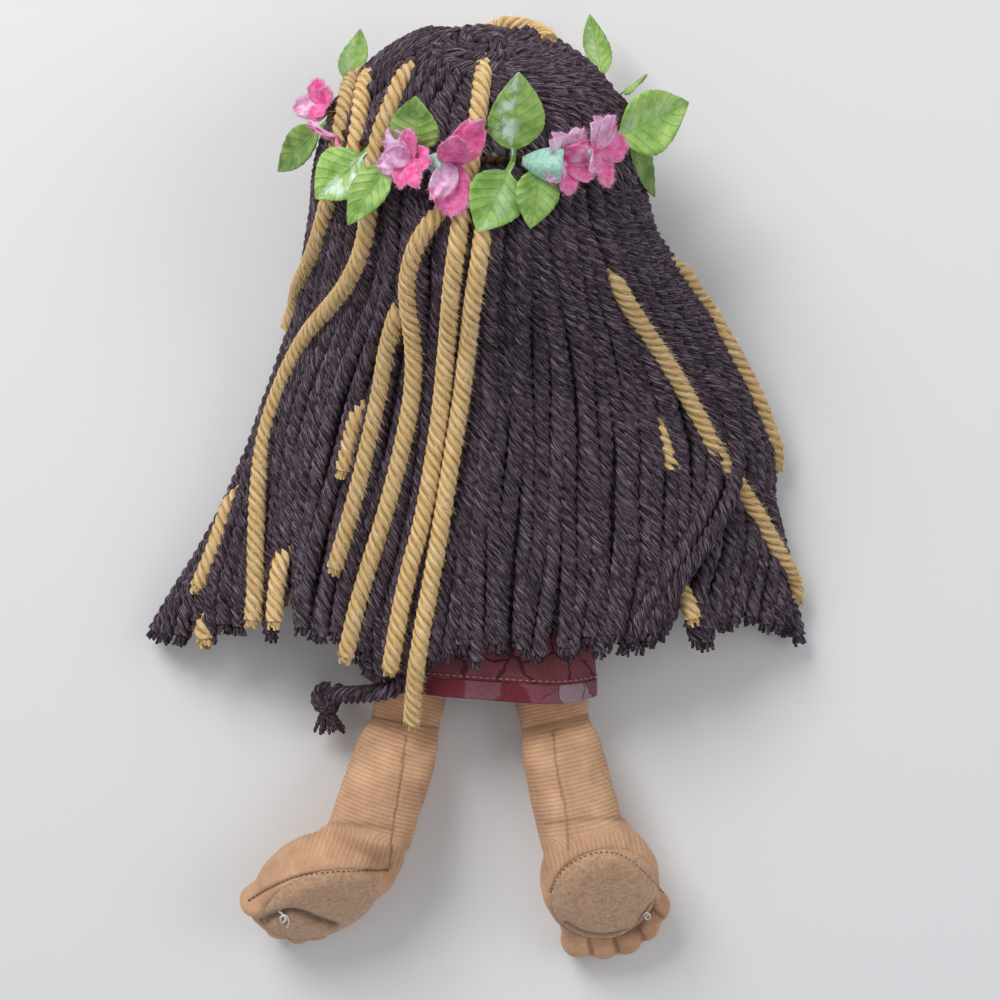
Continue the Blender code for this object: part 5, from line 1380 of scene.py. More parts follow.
def knit_material(name, light, deep, seam_shade_colour):
    material, add, shader = new_material(name, 0.88, Sheen_Weight=0.25, Sheen_Roughness=0.5,
                                         Specular_IOR_Level=0.25)
    shader.inputs["Sheen Tint"].default_value = paint("#ffdfc0")
    place = add("TexCoord", out="Object")
    knit = add("Attribute", out="Vector", attribute_name="knit")
    seam = add("Attribute", out="Fac", attribute_name="seam")
    along, around, foot = add("SeparateXYZ", knit, out=None)
    wander = add("TexNoise", place, 260.0)
    bent = add("Math MULTIPLY_ADD", wander, 0.5 * MM, along)
    rows = wave(add, bent, KNIT_ROW)
    wales = wave(add, add("Math MULTIPLY_ADD", wander, 0.4 * MM, around), KNIT_WALE)
    ribs = wave(add, add("Math MULTIPLY_ADD", wander, 0.5 * MM, around), ANKLE_RIB, 0.75)
    at_ankle = add("Math MULTIPLY", foot, add("MapRange", along, 50 * MM, 43 * MM))
    shin = add("Math MULTIPLY_ADD", rows, 0.82, add("Math MULTIPLY", wales, 0.18))
    sole_loops = add("Math MULTIPLY_ADD", add("TexNoise", place, 1100.0), 0.8,
                     add("Math MULTIPLY", wales, 0.2))
    cloth = add("Mix FLOAT", foot, shin, sole_loops)
    cloth = add("Mix FLOAT", at_ankle, cloth, ribs)
    grain = add("TexNoise", place, 1500.0, 3.0, 0.7)
    patches = add("TexNoise", place, 95.0, 3.0, 0.55)
    colour = add("Mix RGBA", add("MapRange", patches, 0.36, 0.66), paint(deep), paint(light))
    loop_shade = add("MapRange", add("Math MULTIPLY_ADD", grain, 0.5, add("Math MULTIPLY", cloth, 0.5)), 0.25,
                     0.7, 0.82, 1.10)
    brushed = add("MapRange", add("TexNoise", place, 1300.0, 4.0, 0.8), 0.40, 0.62, 0.88, 1.15)
    brushed_share = add("Math MULTIPLY", add("Math SUBTRACT", foot, add("Math MULTIPLY", at_ankle, 0.8)), 0.7)
    loop_shade = add("Mix FLOAT", brushed_share, loop_shade, brushed)
    colour = shaded(add, colour, loop_shade)
    # seams and creases mixed towards the seam colour: painted shade, partly the seam's own line
    colour = add("Mix RGBA", add("Math MULTIPLY", seam, 0.85), colour, paint(seam_shade_colour))
    height = add("Math MULTIPLY_ADD", grain, 0.35, add("Math MULTIPLY", cloth, 0.65))
    coat(shader, colour, height, 0.35 * MM, 0.75)
    return material


def sole_material(name, light, dark, seam_shade_colour):
    """The brushed reverse of the jersey: a pale and dark grain without rows."""
    material, add, shader = new_material(name, 0.95, Sheen_Weight=0.3, Sheen_Roughness=0.5,
                                         Specular_IOR_Level=0.2)
    place = add("TexCoord", out="Object")
    seam = add("Attribute", out="Fac", attribute_name="seam")
    grain = add("TexNoise", place, 1300.0, 4.0, 0.8)
    clumps = add("TexNoise", place, 700.0, 2.0, 0.6)
    speck = add("Math MULTIPLY_ADD", clumps, 0.4, add("Math MULTIPLY", grain, 0.6))
    colour = add("Mix RGBA", add("MapRange", speck, 0.38, 0.60), paint(dark), paint(light))
    # the toe crease mixed towards the seam colour: painted shade
    colour = add("Mix RGBA", add("Math MULTIPLY", seam, 0.8), colour, paint(seam_shade_colour))
    coat(shader, colour, speck, 0.55 * MM, 0.8)
    return material


# each material's last colour is the painted shade of its seams and creases
SKIN = knit_material("brushed_jersey_tan", "#d8ac88", "#bf9474", "#4a2e1c")
SOLE = sole_material("brushed_jersey_reverse", "#dab08e", "#ad8a6d", "#3f281a")
for side, (leg, thigh, sole) in legs.items():
    strip = knee_strip(side)
    for piece, material in ((leg, SKIN), (thigh, SKIN), (sole, SOLE), (strip, SKIN)):
        piece.data.materials.append(material)
    middle, _, forward = knee_frame(side)
    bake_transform(strip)
    belongs(leg, "lower_leg_" + side, "skin_knit", "lower_leg_" + side)
    belongs(thigh, "thigh_" + side, "skin_knit", "thigh_" + side)
    belongs(sole, "lower_leg_" + side, "sole_cloth", "sole_" + side)

# %% [markdown]
# ## Dress
# A straight sleeveless dress in printed cotton. What shows is the lower edge: soft folds, and a sewn
# hem band with a row of pink stitches above it. The skirt is one tube of cloth 178 mm round, cut 66 mm
# long. Its two faces are modelled, so that it has an inside. Small creases are moved into the mesh,
# and every point keeps its place in the flat cloth, so print and weave follow the folds.

# %% Skirt and hem band
SKIRT_TOP, SKIRT_LENGTH, HEM_BAND, HEM_SLANT = 8.0 * MM, 69.0 * MM, 6.0 * MM, 6.0 * MM
SKIRT_WIDTH, TOP_DEPTH, HEM_DEPTH = 74.0 * MM, 18.9 * MM, 15.75 * MM
CLOTH, GIRTH = 0.8 * MM, 178
TUBE_COLUMNS = 200


def skirt_point(angle, down, inset):
    """A point of the dress below the waist, in the doll's frame."""
    taper = max(0.0, down - 0.4) / 0.6
    depth = TOP_DEPTH + (HEM_DEPTH - TOP_DEPTH) * taper
    ripple = 0.8 * MM * down * cos(7 * angle) * max(0.0, sin(angle))
    crease = noise.noise(Vector((cos(angle) * 2.2, sin(angle) * 2.2, down * 2.6))) * 0.8 * MM
    crease += noise.noise(Vector((cos(angle) * 7, sin(angle) * 7, down * 5 + 3))) * 0.35 * MM
    grow = ripple + crease * min(1.0, down * 3) - inset
    x = (SKIRT_WIDTH / 2 + grow) * cos(angle)
    z = max(0.15 * MM + inset * 0.6, (depth + grow) * sin(angle) + depth - 0.5 * MM)
    slant = HEM_SLANT * (x / SKIRT_WIDTH + 0.5)
    lifted = 3.2 * MM * down ** 3 * abs(x / (SKIRT_WIDTH / 2)) ** 5
    return Vector((x, SKIRT_TOP - 0.3 * MM - (SKIRT_LENGTH + slant) * down + lifted, z))


def cloth_tube(name, low, high, inset, wall, columns, rows):
    """A tube of cloth between two shares of the way down, with its places in the flat cloth."""
    points, places, faces = [], [], []
    downs = np.linspace(low, high, rows)
    walls = [(d, inset) for d in downs] + [(d, inset + wall) for d in downs[::-1]]
    for down, inward in walls:
        for c in range(columns):
            angle = 2 * pi * c / columns
            points.append(skirt_point(angle, down, inward) + MIDDLE)
            places.append((c / columns * GIRTH * MM, down * SKIRT_LENGTH, 0))
    loops = len(walls)
    for r in range(loops):
        after = (r + 1) % loops
        for c in range(columns):
            d = (c + 1) % columns
            faces.append((r * columns + c, after * columns + c, after * columns + d, r * columns + d))
    piece = sheet_of_points(name, points, faces)
    point_values(piece, "cloth", np.array(places))
    piece.data.shade_smooth()
    return piece


BAND_SHARE = HEM_BAND / SKIRT_LENGTH
skirt = cloth_tube("dress_skirt_cloth", 0.0, 1 - BAND_SHARE, 0.0, CLOTH, TUBE_COLUMNS, 64)
hem = cloth_tube("dress_hem_band", 1 - BAND_SHARE + 0.004, 1.0, -0.35 * MM, 1.5 * MM, TUBE_COLUMNS, 14)
bodice = soft_copy("dress_bodice", "dress_bodice_cloth", 0.62 * MM, 2, 0.0)
points, _, _ = mesh_arrays(bodice)
local = points - np.array(MIDDLE)
around = np.arctan2(local[:, 2] - 18.4 * MM, local[:, 0]) / (2 * pi) * GIRTH * MM
point_values(bodice, "cloth", np.column_stack((around, SKIRT_TOP - local[:, 1], np.zeros(len(points)))))

# %% [markdown]
# Running stitches are the same little bar of thread again and again along a line, so a third tree
# places them: it cuts the line into steps, puts a bar on each, and turns it along the line.

# %% Stitch tree
def stitch_tree():
    tree, add, given = new_tree("running_stitches", ("Spacing", "Length", "Thickness"))
    curve = add("MeshToCurve", given["Geometry"])
    curve = add("ResampleCurve LENGTH", curve, Length=given["Spacing"])
    tangent = add("InputTangent")
    wobble = add("RandomValue FLOAT_VECTOR", (-0.12, -0.12, -0.12), (0.12, 0.12, 0.12), Seed=4)
    way = add("VectorMath ADD", tangent, wobble)
    turn = add("AxesToRotation", way, (0.0, 0.0, 1.0), primary_axis="X", secondary_axis="Z")
    bar = add("MeshUVSphere", 8, 6, 0.5)
    place = add("InputPosition")
    size = add("CombineXYZ", given["Length"], given["Thickness"], given["Thickness"])
    scaled = add("VectorMath MULTIPLY", place, size)
    bar = add("SetPosition", bar, Position=scaled)
    bars = add("InstanceOnPoints", curve, Instance=bar, Rotation=turn)
    bars = add("RealizeInstances", bars)
    bars = add("SetShadeSmooth", bars)
    close_tree(tree, add("SetMaterial", bars, Material=given["Material"]))
    return tree


STITCH_TREE = stitch_tree()


def thread_material(name, colour):
    """Mercerised cotton thread: smooth, with a little gloss."""
    material, add, shader = new_material(name, 0.55, Sheen_Weight=0.2)
    place = add("TexCoord", out="Object")
    grain = add("TexNoise", place, 2500.0)
    shade = add("MapRange", grain, 0.3, 0.7, 0.8, 1.05)
    coat(shader, shaded(add, paint(colour), shade))
    return material


PINK_THREAD = thread_material("cotton_thread_pink", "#b87986")
HEM_STITCH = {"Spacing": 2.1 * MM, "Length": 1.5 * MM, "Thickness": 0.5 * MM, "Material": PINK_THREAD}
hem_line = [skirt_point(2 * pi * k / 160, 1 - BAND_SHARE - 0.012, -0.25 * MM) for k in range(161)]
source = lines_object("hem_line", [strand_record(hem_line)])
hem_stitches = grown(source, STITCH_TREE, HEM_STITCH, "hem_stitches")

# %% [markdown]
# ## Printed cotton
# The print is a plain all-over one of pebble shapes in maroon, rose and mauve with darker outlines,
# of the scale that such doll cloth has, about 10 mm. The weave is finer than the picture can show, so
# it is drawn at half a millimetre.

# %% Printed cotton
THREAD_GAP = 0.55 * MM


def printed_cotton(name, size, colours, outline, line_width):
    material, add, shader = new_material(name, 0.85, Sheen_Weight=0.15, Specular_IOR_Level=0.25)
    cloth = add("Attribute", out="Vector", attribute_name="cloth")
    wander = add("TexNoise", cloth, 170.0, 2.0, out=1)
    bent = add("VectorMath MULTIPLY_ADD", wander, (0.006, 0.006, 0.0), cloth)
    cell = add("TexVoronoi", bent, 1 / size, out="Color", feature="F1", voronoi_dimensions="2D")
    edge = add("TexVoronoi", bent, 1 / size, feature="DISTANCE_TO_EDGE", voronoi_dimensions="2D")
    luck = add("SeparateColor", cell)
    colour = paint(colours[0])
    for k, code in enumerate(colours[1:], 1):
        colour = add("Mix RGBA", add("Math GREATER_THAN", luck, k / len(colours)), colour, paint(code))
    colour = add("Mix RGBA", add("MapRange", edge, line_width, line_width * 1.8, 1.0, 0.0), colour,
                 paint(outline))
    across, down, _ = add("SeparateXYZ", cloth, out=None)
    weave = add("Math MULTIPLY", wave(add, across, THREAD_GAP), wave(add, down, THREAD_GAP))
    worn = add("TexNoise", cloth, 900.0, 3.0, 0.7)
    shade = add("MapRange", add("Math MULTIPLY_ADD", weave, 0.3, worn), 0.35, 0.85, 0.72, 1.12)
    coat(shader, shaded(add, colour, shade), weave, 0.15 * MM, 0.8)
    return material


DRESS_DYES = ("#8e4c53", "#965359", "#874650", "#935e62", "#82464c")
HEM_DYES = ("#8a5560", "#7a2b38", "#a38a90", "#8c4c58", "#81505c")
DRESS_CLOTH = printed_cotton("printed_cotton_dress", 10 * MM, DRESS_DYES, "#5a2229", 0.035)
HEM_CLOTH = printed_cotton("printed_cotton_hem", 9 * MM, HEM_DYES, "#74404c", 0.02)
for piece, material in ((skirt, DRESS_CLOTH), (bodice, DRESS_CLOTH), (hem, HEM_CLOTH)):
    piece.data.materials.append(material)
belongs(skirt, "torso", "dress_print", "dress_skirt")
belongs(bodice, "torso", "dress_print", "dress_bodice")
belongs(hem, "torso", "hem_band", "dress_hem")
belongs(hem_stitches, "torso", "hem_band")

# %% [markdown]
# ## Crown of cloth blossom
# The crown is a wire ring wound with brown paper tape. Leaves and flowers of stiffened satin are tied
# to it by short stems. The ring lies in one tilted plane and follows the hair, so a point of it is
# found by walking in along a ray until the hair is met. Each leaf and flower has its turn round the
# ring, its swing on it and its lean off the hair, as in the frame.

# %% Places on the crown
# the head's height and sizes, then the wire and the plane of its ring, all in the doll's frame
HEAD_HEIGHT = 40.0 * MM
HEAD_SIZES = (88.0 * MM, 92.0 * MM, 81.0 * MM)
BAND_THICKNESS, BAND_BACK_REACH, BAND_TILT_RISE = 2.4 * MM, 6.0 * MM, 46.0 * MM
BAND_MIDDLE = Vector((0, HEAD_PLACE + BAND_BACK_REACH + BAND_TILT_RISE / 2, CROWN_MIDDLE))
BAND_BACK = Vector((0, -BAND_TILT_RISE, HAIR_HEIGHT)).normalized()
BAND_UP = Vector((1, 0, 0)).cross(BAND_BACK) * -1


def inside_hair(point):
    """Whether a point lies in the hair or in the head."""
    share = (point.x / HEAD_SIZES[0]) ** 2 + ((point.y - HEAD_PLACE) / HEAD_SIZES[1]) ** 2
    share += ((point.z - HEAD_HEIGHT) / HEAD_SIZES[2]) ** 2
    if share < 0.25:
        return True
    swell = sqrt(max(0.0, 1 - ((point.y - HEAD_PLACE) / HAIR_TOP_REACH) ** 2))
    half, rise = CROWN_HALF * swell, (HAIR_HEIGHT - CROWN_MIDDLE) * swell
    if not half or point.z < CROWN_MIDDLE - rise:
        return False
    return (point.x / half) ** 2 + ((point.z - CROWN_MIDDLE) / rise) ** 2 < 1


def band_point(turn):
    """A point of the ring's middle line, and the direction out of the hair there."""
    outward = BAND_BACK * cos(turn) + Vector((1, 0, 0)) * sin(turn)
    reach = HAIR_HEIGHT
    while not inside_hair(BAND_MIDDLE + outward * reach):
        reach -= BAND_THICKNESS / 16
    return BAND_MIDDLE + outward * (reach + BAND_THICKNESS / 2 + 0.6 * MM), outward


def trim_frame(turn, swing, lean):
    """Where a leaf or flower starts on the ring, and its directions: along, across and face."""
    turn, swing, lean = (radians(value) for value in (turn, swing, lean))
    centre, outward = band_point(turn)
    flat = BAND_UP * cos(swing) + BAND_UP.cross(outward) * sin(swing)
    direction = flat * cos(lean) + outward * sin(lean)
    face = outward * cos(lean) - flat * sin(lean)
    return centre + outward * (BAND_THICKNESS / 2 + 0.9 * MM), direction, direction.cross(face), face


ring_line = [band_point(2 * pi * k / 120)[0] for k in range(121)]
# the first colour is the painted shade between the turns of tape
PAPER_TAPE = yarn_material("twisted_paper_tape", "#2b1d12", "#574029", "#7d6244", 0.4, 0.0)
WOUND_TAPE = dict(FULL_YARN, Radius=BAND_THICKNESS / 2, Pitch=3 * MM, Step=0.7 * MM, Plies=1.0, Groove=0.08,
                  Sides=14, Material=PAPER_TAPE)
crown_ring = yarn_piece("crown_ring", [strand_record(ring_line, 0.3)], WOUND_TAPE)

# %% [markdown]
# ## Leaves
# A cloth leaf is cut from stiffened satin and pressed in a hot mould, which leaves the raised middle
# rib and side veins. Its edge is cut with small teeth. One function makes the blade from a few shares,
# with a different curl and colour for each leaf.

# %% Leaf blades
LEAF_LENGTH, LEAF_WIDTH = 26.0 * MM, 14.0 * MM
# turn, swing, lean, length share, width share, curl of the tip, tone, strength of the painted highlight
# streaks, and how far the blade is turned up on its stem
LEAVES = {
    "leaf_01": (-104, -64, 4, 1.00, 0.70, 0.10, 0.35, 0.2, 0.75),
    "leaf_02": (-68, -140, 23, 1.14, 0.85, -0.10, 0.15, 0.0, 0.3),
    "leaf_03": (-38, -143, 30, 0.86, 1.25, 0.12, 0.80, 1.0, 0.0),
    "leaf_04": (-28, -156, 36, 0.96, 0.85, -0.15, 0.65, 0.1, 0.0),
    "leaf_05": (-20, 2, 4, 0.78, 1.15, 0.05, 0.45, 0.1, 0.0),
    "leaf_06": (11, 1, 10, 1.16, 1.25, 0.05, 0.75, 1.0, 0.0),
    "leaf_07": (11, -146, 18, 0.90, 1.35, 0.10, 0.90, 0.25, 0.0),
    "leaf_08": (20, -164, 19, 0.80, 1.05, -0.05, 0.70, 0.1, 0.0),
    "leaf_09": (110, 62, 10, 1.18, 0.68, 0.05, 0.45, 0.3, 0.75),
    "leaf_10": (48, 77, 14, 1.15, 1.50, 0.08, 1.15, 0.2, 0.3),
    "leaf_11": (98, -30, 40, 0.45, 0.75, 0.0, 0.60, 0.0, 0.4),
    "leaf_12": (62, 159, 10, 1.05, 0.75, 0.05, 0.05, 0.0, 0.0),
}
LEAF_ROWS, LEAF_COLUMNS, LEAF_WALL = 34, 15, 0.22 * MM
VEINS, VEIN_SLANT, TEETH = 8.0, 1.6, 13


def leaf_width(share):
    """Half-width of the blade along it: broad below the middle, drawn out to a tip."""
    if share < 0.14:
        return 0.09
    t = (share - 0.14) / 0.86
    return max(0.02, sin(pi * t ** 0.78) ** 0.85 * (1 - 0.12 * t))


def leaf_piece(name, values):
    turn, swing, lean, length_share, width_share, curl, tone, painted_highlight, turned_up = values
    start, along, across, face = trim_frame(turn, swing, lean)
    up = (Vector((0, 0, 1)) - along * along.z).normalized()
    face = face.lerp(up, turned_up).normalized()
    across = along.cross(face)
    length, half = LEAF_LENGTH * length_share, LEAF_WIDTH / 2 * width_share
    seed = sum(map(ord, name)) * 0.37
    skins, veins = [], []
    for level in (LEAF_WALL, -LEAF_WALL):
        rows = []
        for r in range(LEAF_ROWS + 1):
            t = r / LEAF_ROWS
            width = leaf_width(t)
            row = []
            for c in range(LEAF_COLUMNS):
                s = c / (LEAF_COLUMNS - 1) * 2 - 1
                tooth = 1 + (0.05 * ((t * TEETH) % 1.0) if abs(s) > 0.95 and t > 0.2 else 0.0)
                side = s * half * width * tooth
                rise = half * width * 0.20 * abs(s) + curl * length * max(0.0, t - 0.35) ** 2
                rise += noise.noise(Vector((t * 3, s * 1.5, seed))) * 0.9 * MM * width
                vein = cos((t * VEINS - abs(s) * VEIN_SLANT) * 2 * pi)
                rise += LEAF_WALL * vein * min(1.0, abs(s) * 3) * width
                row.append(start + along * (length * t) + across * side + face * (rise + level) + MIDDLE)
                veins.append((t, s, tone))
            rows.append(row)
        skins.append(rows)
    piece = two_skins(name + "_cloth", skins[0], skins[1])
    point_values(piece, "leaf", np.array(veins))
    point_values(piece, "painted_highlight", np.full(len(veins), float(painted_highlight)))
    return piece


def satin_leaf_material():
    """Stiffened polyester satin with a soft gloss; pale streaks beside the rib are a painted highlight."""
    material, add, shader = new_material("stiffened_satin_leaf", 0.52, Sheen_Weight=0.15,
                                         Specular_IOR_Level=0.4)
    place = add("TexCoord", out="Object")
    leaf = add("Attribute", out="Vector", attribute_name="leaf")
    painted_highlight = add("Attribute", out="Fac", attribute_name="painted_highlight")
    t, s, tone = add("SeparateXYZ", leaf, out=None)
    side = add("Math ABSOLUTE", s)
    rib = add("MapRange", side, 0.0, 0.09, 1.0, 0.0)
    vein_at = add("Math FRACT", add("Math SUBTRACT", add("Math MULTIPLY", t, VEINS),
                                    add("Math MULTIPLY", side, VEIN_SLANT)))
    vein = add("MapRange", add("Math ABSOLUTE", add("Math SUBTRACT", vein_at, 0.5)), 0.40, 0.48)
    patches = add("TexNoise", place, 180.0, 3.0, 0.6)
    deep = add("Mix RGBA", tone, paint("#4f7330"), paint("#80b545"))
    pale = add("Mix RGBA", tone, paint("#8aa64c"), paint("#bfe381"))
    colour = add("Mix RGBA", add("MapRange", patches, 0.35, 0.66), deep, pale)
    colour = add("Mix RGBA", add("Math MULTIPLY", add("Math MAXIMUM", rib, vein), 0.25), colour,
                 paint("#5d7a35"))
    # painted highlight: pale streaks beside the rib, as strong as each leaf's share
    highlight_noise = add("TexNoise", place, 230.0, 3.0, 0.6)
    beside_rib = add("MapRange", add("Math ABSOLUTE", add("Math ADD", s, 0.35)), 0.15, 0.55, 1.0, 0.0)
    mask = add("Math MULTIPLY", add("Math MULTIPLY", add("MapRange", highlight_noise, 0.42, 0.58), beside_rib), painted_highlight)
    colour = add("Mix RGBA", mask, colour, paint("#e6fbe9"))
    weave = add("TexNoise", place, 2200.0, 2.0, 0.6)
    height = add("Math MULTIPLY_ADD", weave, 0.25, add("Math MULTIPLY", add("Math MAXIMUM", rib, vein), 0.6))
    coat(shader, colour, height, 0.35 * MM, 0.7)
    return material


LEAF_CLOTH = satin_leaf_material()
leaf_pieces = {name: leaf_piece(name, values) for name, values in LEAVES.items()}
for name, piece in leaf_pieces.items():
    piece.data.materials.append(LEAF_CLOTH)
    belongs(piece, "head", "leaf_cloth", name)
print("leaves:", len(leaf_pieces))

# %% [markdown]
# ## Flowers
# Each flower is a few petals of thin dyed cloth, bunched on a stem. The dye runs from magenta to a
# lilac that is nearly white, and the cut edges fray into loose threads. A petal is a small cupped
# sheet with a ragged end; where each one points, and how long it is, is listed for the flowers
# that show well, so that they lie as in the photograph.

# %% Petals
FLOWER_DEPTH, PETAL_WALL = 7.0 * MM, 0.16 * MM
PETAL_ROWS, PETAL_COLUMNS = 14, 12
# turn, swing, lean, size share; then each petal: turn round the stem, opening, length and width in
# millimetres, and how far its dye runs to lilac
FLOWERS = {
    "flower_01": ((-86, 60, 40, 0.50),
                  ((20, 50, 8, 7, 0.0), (100, 56, 8, 8, 0.0), (185, 62, 10, 8, 0.75), (250, 54, 7, 7, 0.1),
                   (310, 44, 7, 7, 0.0))),
    "flower_02": ((-54, -170, 52, 0.33),
                  ((20, 60, 8, 7, 0.1), (110, 62, 9, 7, 0.3), (195, 70, 9, 7, 0.9), (270, 64, 10, 8, 0.1))),
    "flower_03": ((-21, -40, 68, 0.62),
                  ((0, 62, 11, 8, 0.1), (60, 55, 10, 7, 0.0), (125, 60, 10, 9, 0.85), (190, 66, 10, 8, 0.95),
                   (250, 62, 9, 7, 0.2), (310, 58, 11, 7, 0.1), (160, 30, 8, 7, 0.95))),
    "flower_04": ((-8, 60, 77, 0.64),
                  ((66, 58, 18, 10, 0.0), (268, 66, 15, 12, 0.12), (236, 52, 12, 8, 0.8),
                   (92, 40, 14, 10, 0.05))),
    "flower_05": ((27, 60, 78, 0.76),
                  ((10, 58, 11, 8, 0.2), (75, 62, 10, 8, 0.7), (140, 66, 10, 8, 0.95), (215, 62, 10, 7, 0.8),
                   (280, 64, 11, 8, 0.15), (330, 60, 11, 8, 0.1), (40, 34, 8, 7, 0.5))),
    "flower_06": ((39, 50, 72, 0.66),
                  ((0, 66, 12, 9, 0.0), (70, 60, 11, 8, 0.6), (140, 60, 11, 9, 0.9), (215, 58, 10, 8, 0.6),
                   (290, 64, 12, 9, 0.0))),
    "flower_07": ((86, 150, 30, 0.42), ((0, 30, 9, 6, 0.1), (120, 34, 8, 6, 0.2), (240, 30, 9, 6, 0.1))),
    "flower_08": ((68, 150, 62, 0.45),
                  ((0, 45, 8, 6, 0.0), (100, 50, 7, 6, 0.0), (190, 45, 8, 6, 0.3), (280, 48, 7, 6, 0.0))),
}


def petal_points(start, axis, around, opening, length, width, seed, level):
    """Rows of points of one petal: a narrow foot, a broad ruffled end, cupped along its middle."""
    direction = axis * cos(opening) + around * sin(opening)
    side = axis.cross(around).normalized()
    normal = direction.cross(side).normalized()
    if normal.dot(axis) < 0:
        normal = -normal
    rows = []
    for r in range(PETAL_ROWS + 1):
        u = r / PETAL_ROWS
        half = width / 2 * max(0.10, sin(pi * (0.06 + 0.74 * u)) ** 0.8)
        row = []
        for c in range(PETAL_COLUMNS + 1):
            v = c / (PETAL_COLUMNS / 2) - 1
            ragged = 1 + 0.10 * noise.noise(Vector((v * 6, seed, 0))) * (u > 0.8) + 0.07 * cos(pi * v) * u
            fall = half * 0.42 * v * v * (1 - 0.5 * u) - length * 0.24 * max(0.0, u - 0.45) ** 1.5
            ruffle = noise.noise(Vector((u * 2.5, v * 2.2, seed))) * 1.6 * MM * u
            out = normal * (fall + ruffle + level)
            row.append(start + direction * (length * u * ragged) + side * (half * v) + out + MIDDLE)
        rows.append(row)
    return rows


def flower_piece(name, frame_values, petals):
    turn, swing, lean, size = frame_values
    start, along, _, _ = trim_frame(turn, swing, lean)
    seed = sum(map(ord, name)) * 0.21
    made = []
    for k, (spin, opening, length, width, dye) in enumerate(petals):
        spin = radians(spin)
        around = Vector((1, 0, 0)) * cos(spin) + Vector((0, 1, 0)) * sin(spin)
        around = (around - along * around.dot(along)).normalized()
        foot = start + along * (FLOWER_DEPTH * size * 0.25)
        args = (foot, along, around, radians(opening), length * MM, width * MM, seed + k * 3.1)
        petal = two_skins(f"{name}_petal_{k}", petal_points(*args, PETAL_WALL),
                          petal_points(*args, -PETAL_WALL))
        values = [(r / PETAL_ROWS, c / (PETAL_COLUMNS / 2) - 1, dye)
                  for _ in range(2) for r in range(PETAL_ROWS + 1) for c in range(PETAL_COLUMNS + 1)]
        point_values(petal, "petal", np.array(values))
        runs = [tuple((around + along * 0.6).normalized())] * len(values)
        point_values(petal, "run", np.array(runs))
        made.append(petal)
    with bpy.context.temp_override(active_object=made[0], selected_editable_objects=made):
        bpy.ops.object.join()
    made[0].name = name + "_petals"
    return made[0]


def petal_material():
    """Thin dyed polyester: matt, a little light comes through, paler where the dye has run out."""
    material, add, shader = new_material("dyed_polyester_petal", 0.62, Sheen_Weight=0.12, Sheen_Roughness=0.4,
                                         Specular_IOR_Level=0.3)
    place = add("TexCoord", out="Object")
    petal = add("Attribute", out="Vector", attribute_name="petal")
    u, v, dye = add("SeparateXYZ", petal, out=None)
    patches = add("TexNoise", place, 420.0, 3.0, 0.6)
    deep = add("Mix RGBA", add("MapRange", patches, 0.35, 0.65), paint("#f04c99"), paint("#ff94cc"))
    pale = add("Mix RGBA", add("MapRange", patches, 0.35, 0.65), paint("#e29ad6"), paint("#fbeaf9"))
    amount = add("Math ADD", dye,
                 add("Math MULTIPLY", add("Math SUBTRACT", add("TexNoise", place, 190.0), 0.5), 1.5))
    colour = add("Mix RGBA", add("MapRange", amount, 0.25, 0.75), deep, pale)
    edge = add("Math MAXIMUM", add("MapRange", u, 0.90, 1.0),
               add("MapRange", add("Math ABSOLUTE", v), 0.86, 1.0))
    colour = add("Mix RGBA", add("Math MULTIPLY", edge, 0.35), colour, paint("#ffd3ee"))
    colour = add("Mix RGBA", add("MapRange", u, 0.0, 0.25, 0.5, 0.0), colour, paint("#8e2b57"))
    coat(shader, colour, add("TexNoise", place, 2000.0, 3.0, 0.7), 0.2 * MM, 0.6)
    return material


PETAL_CLOTH = petal_material()
PETAL_FIBRE = fibre_material("loose_petal_threads", "#e45a9f", "#fbdff0")
PETAL_FUZZ = {"Density": 9000000.0, "Length": 1.2 * MM, "Width": 0.10 * MM, "Lift": 1.6, "Seed": 8,
              "Material": PETAL_FIBRE}
for name, (frame_values, petals) in FLOWERS.items():
    flower = flower_piece(name, frame_values, petals)
    flower.data.materials.clear()
    flower.data.materials.append(PETAL_CLOTH)
    rim = in_scene(name + "_rim", flower.data.copy())
    shape = bmesh.new()
    shape.from_mesh(rim.data)
    at = shape.verts.layers.float_vector["petal"]
    inner = [f for f in shape.faces if all(v[at][0] < 0.9 and abs(v[at][1]) < 0.8 or v[at][0] < 0.35
                                           for v in f.verts)]
    bmesh.ops.delete(shape, geom=inner, context="FACES")
    shape.to_mesh(rim.data)
    shape.free()
    threads = grown(rim, FUZZ_TREE, PETAL_FUZZ, name + "_threads")
    belongs(flower, "head", "petal_cloth", name)
    belongs(threads, "head", "petal_cloth")
belongs(crown_ring, "head", "band_wire", "crown_band")

# %% [markdown]
# Under three of the flowers the calyx shows: a small cup of stiffened mint cloth with five lobes.

# %% Mint calyxes
def calyx_piece(name, base, axis, length, width):
    """A small cup of mint cloth round the foot of a flower."""
    side = axis.cross(Vector((0, 0, 1))).normalized()
    up = side.cross(axis)
    skins = []
    for wall in (0.0, 0.3 * MM):
        rows = []
        for r in range(9):
            u = r / 8
            reach = width / 2 * sin(pi * (0.08 + 0.55 * u)) - wall
            row = []
            for a in np.linspace(0, 2 * pi, 25):
                way = (side * cos(a) + up * sin(a)) * reach
                row.append(base + axis * (length * u) + way * (1 + 0.12 * u * cos(5 * a)) + MIDDLE)
            rows.append(row)
        skins.append(rows)
    return two_skins(name, skins[0], skins[1])


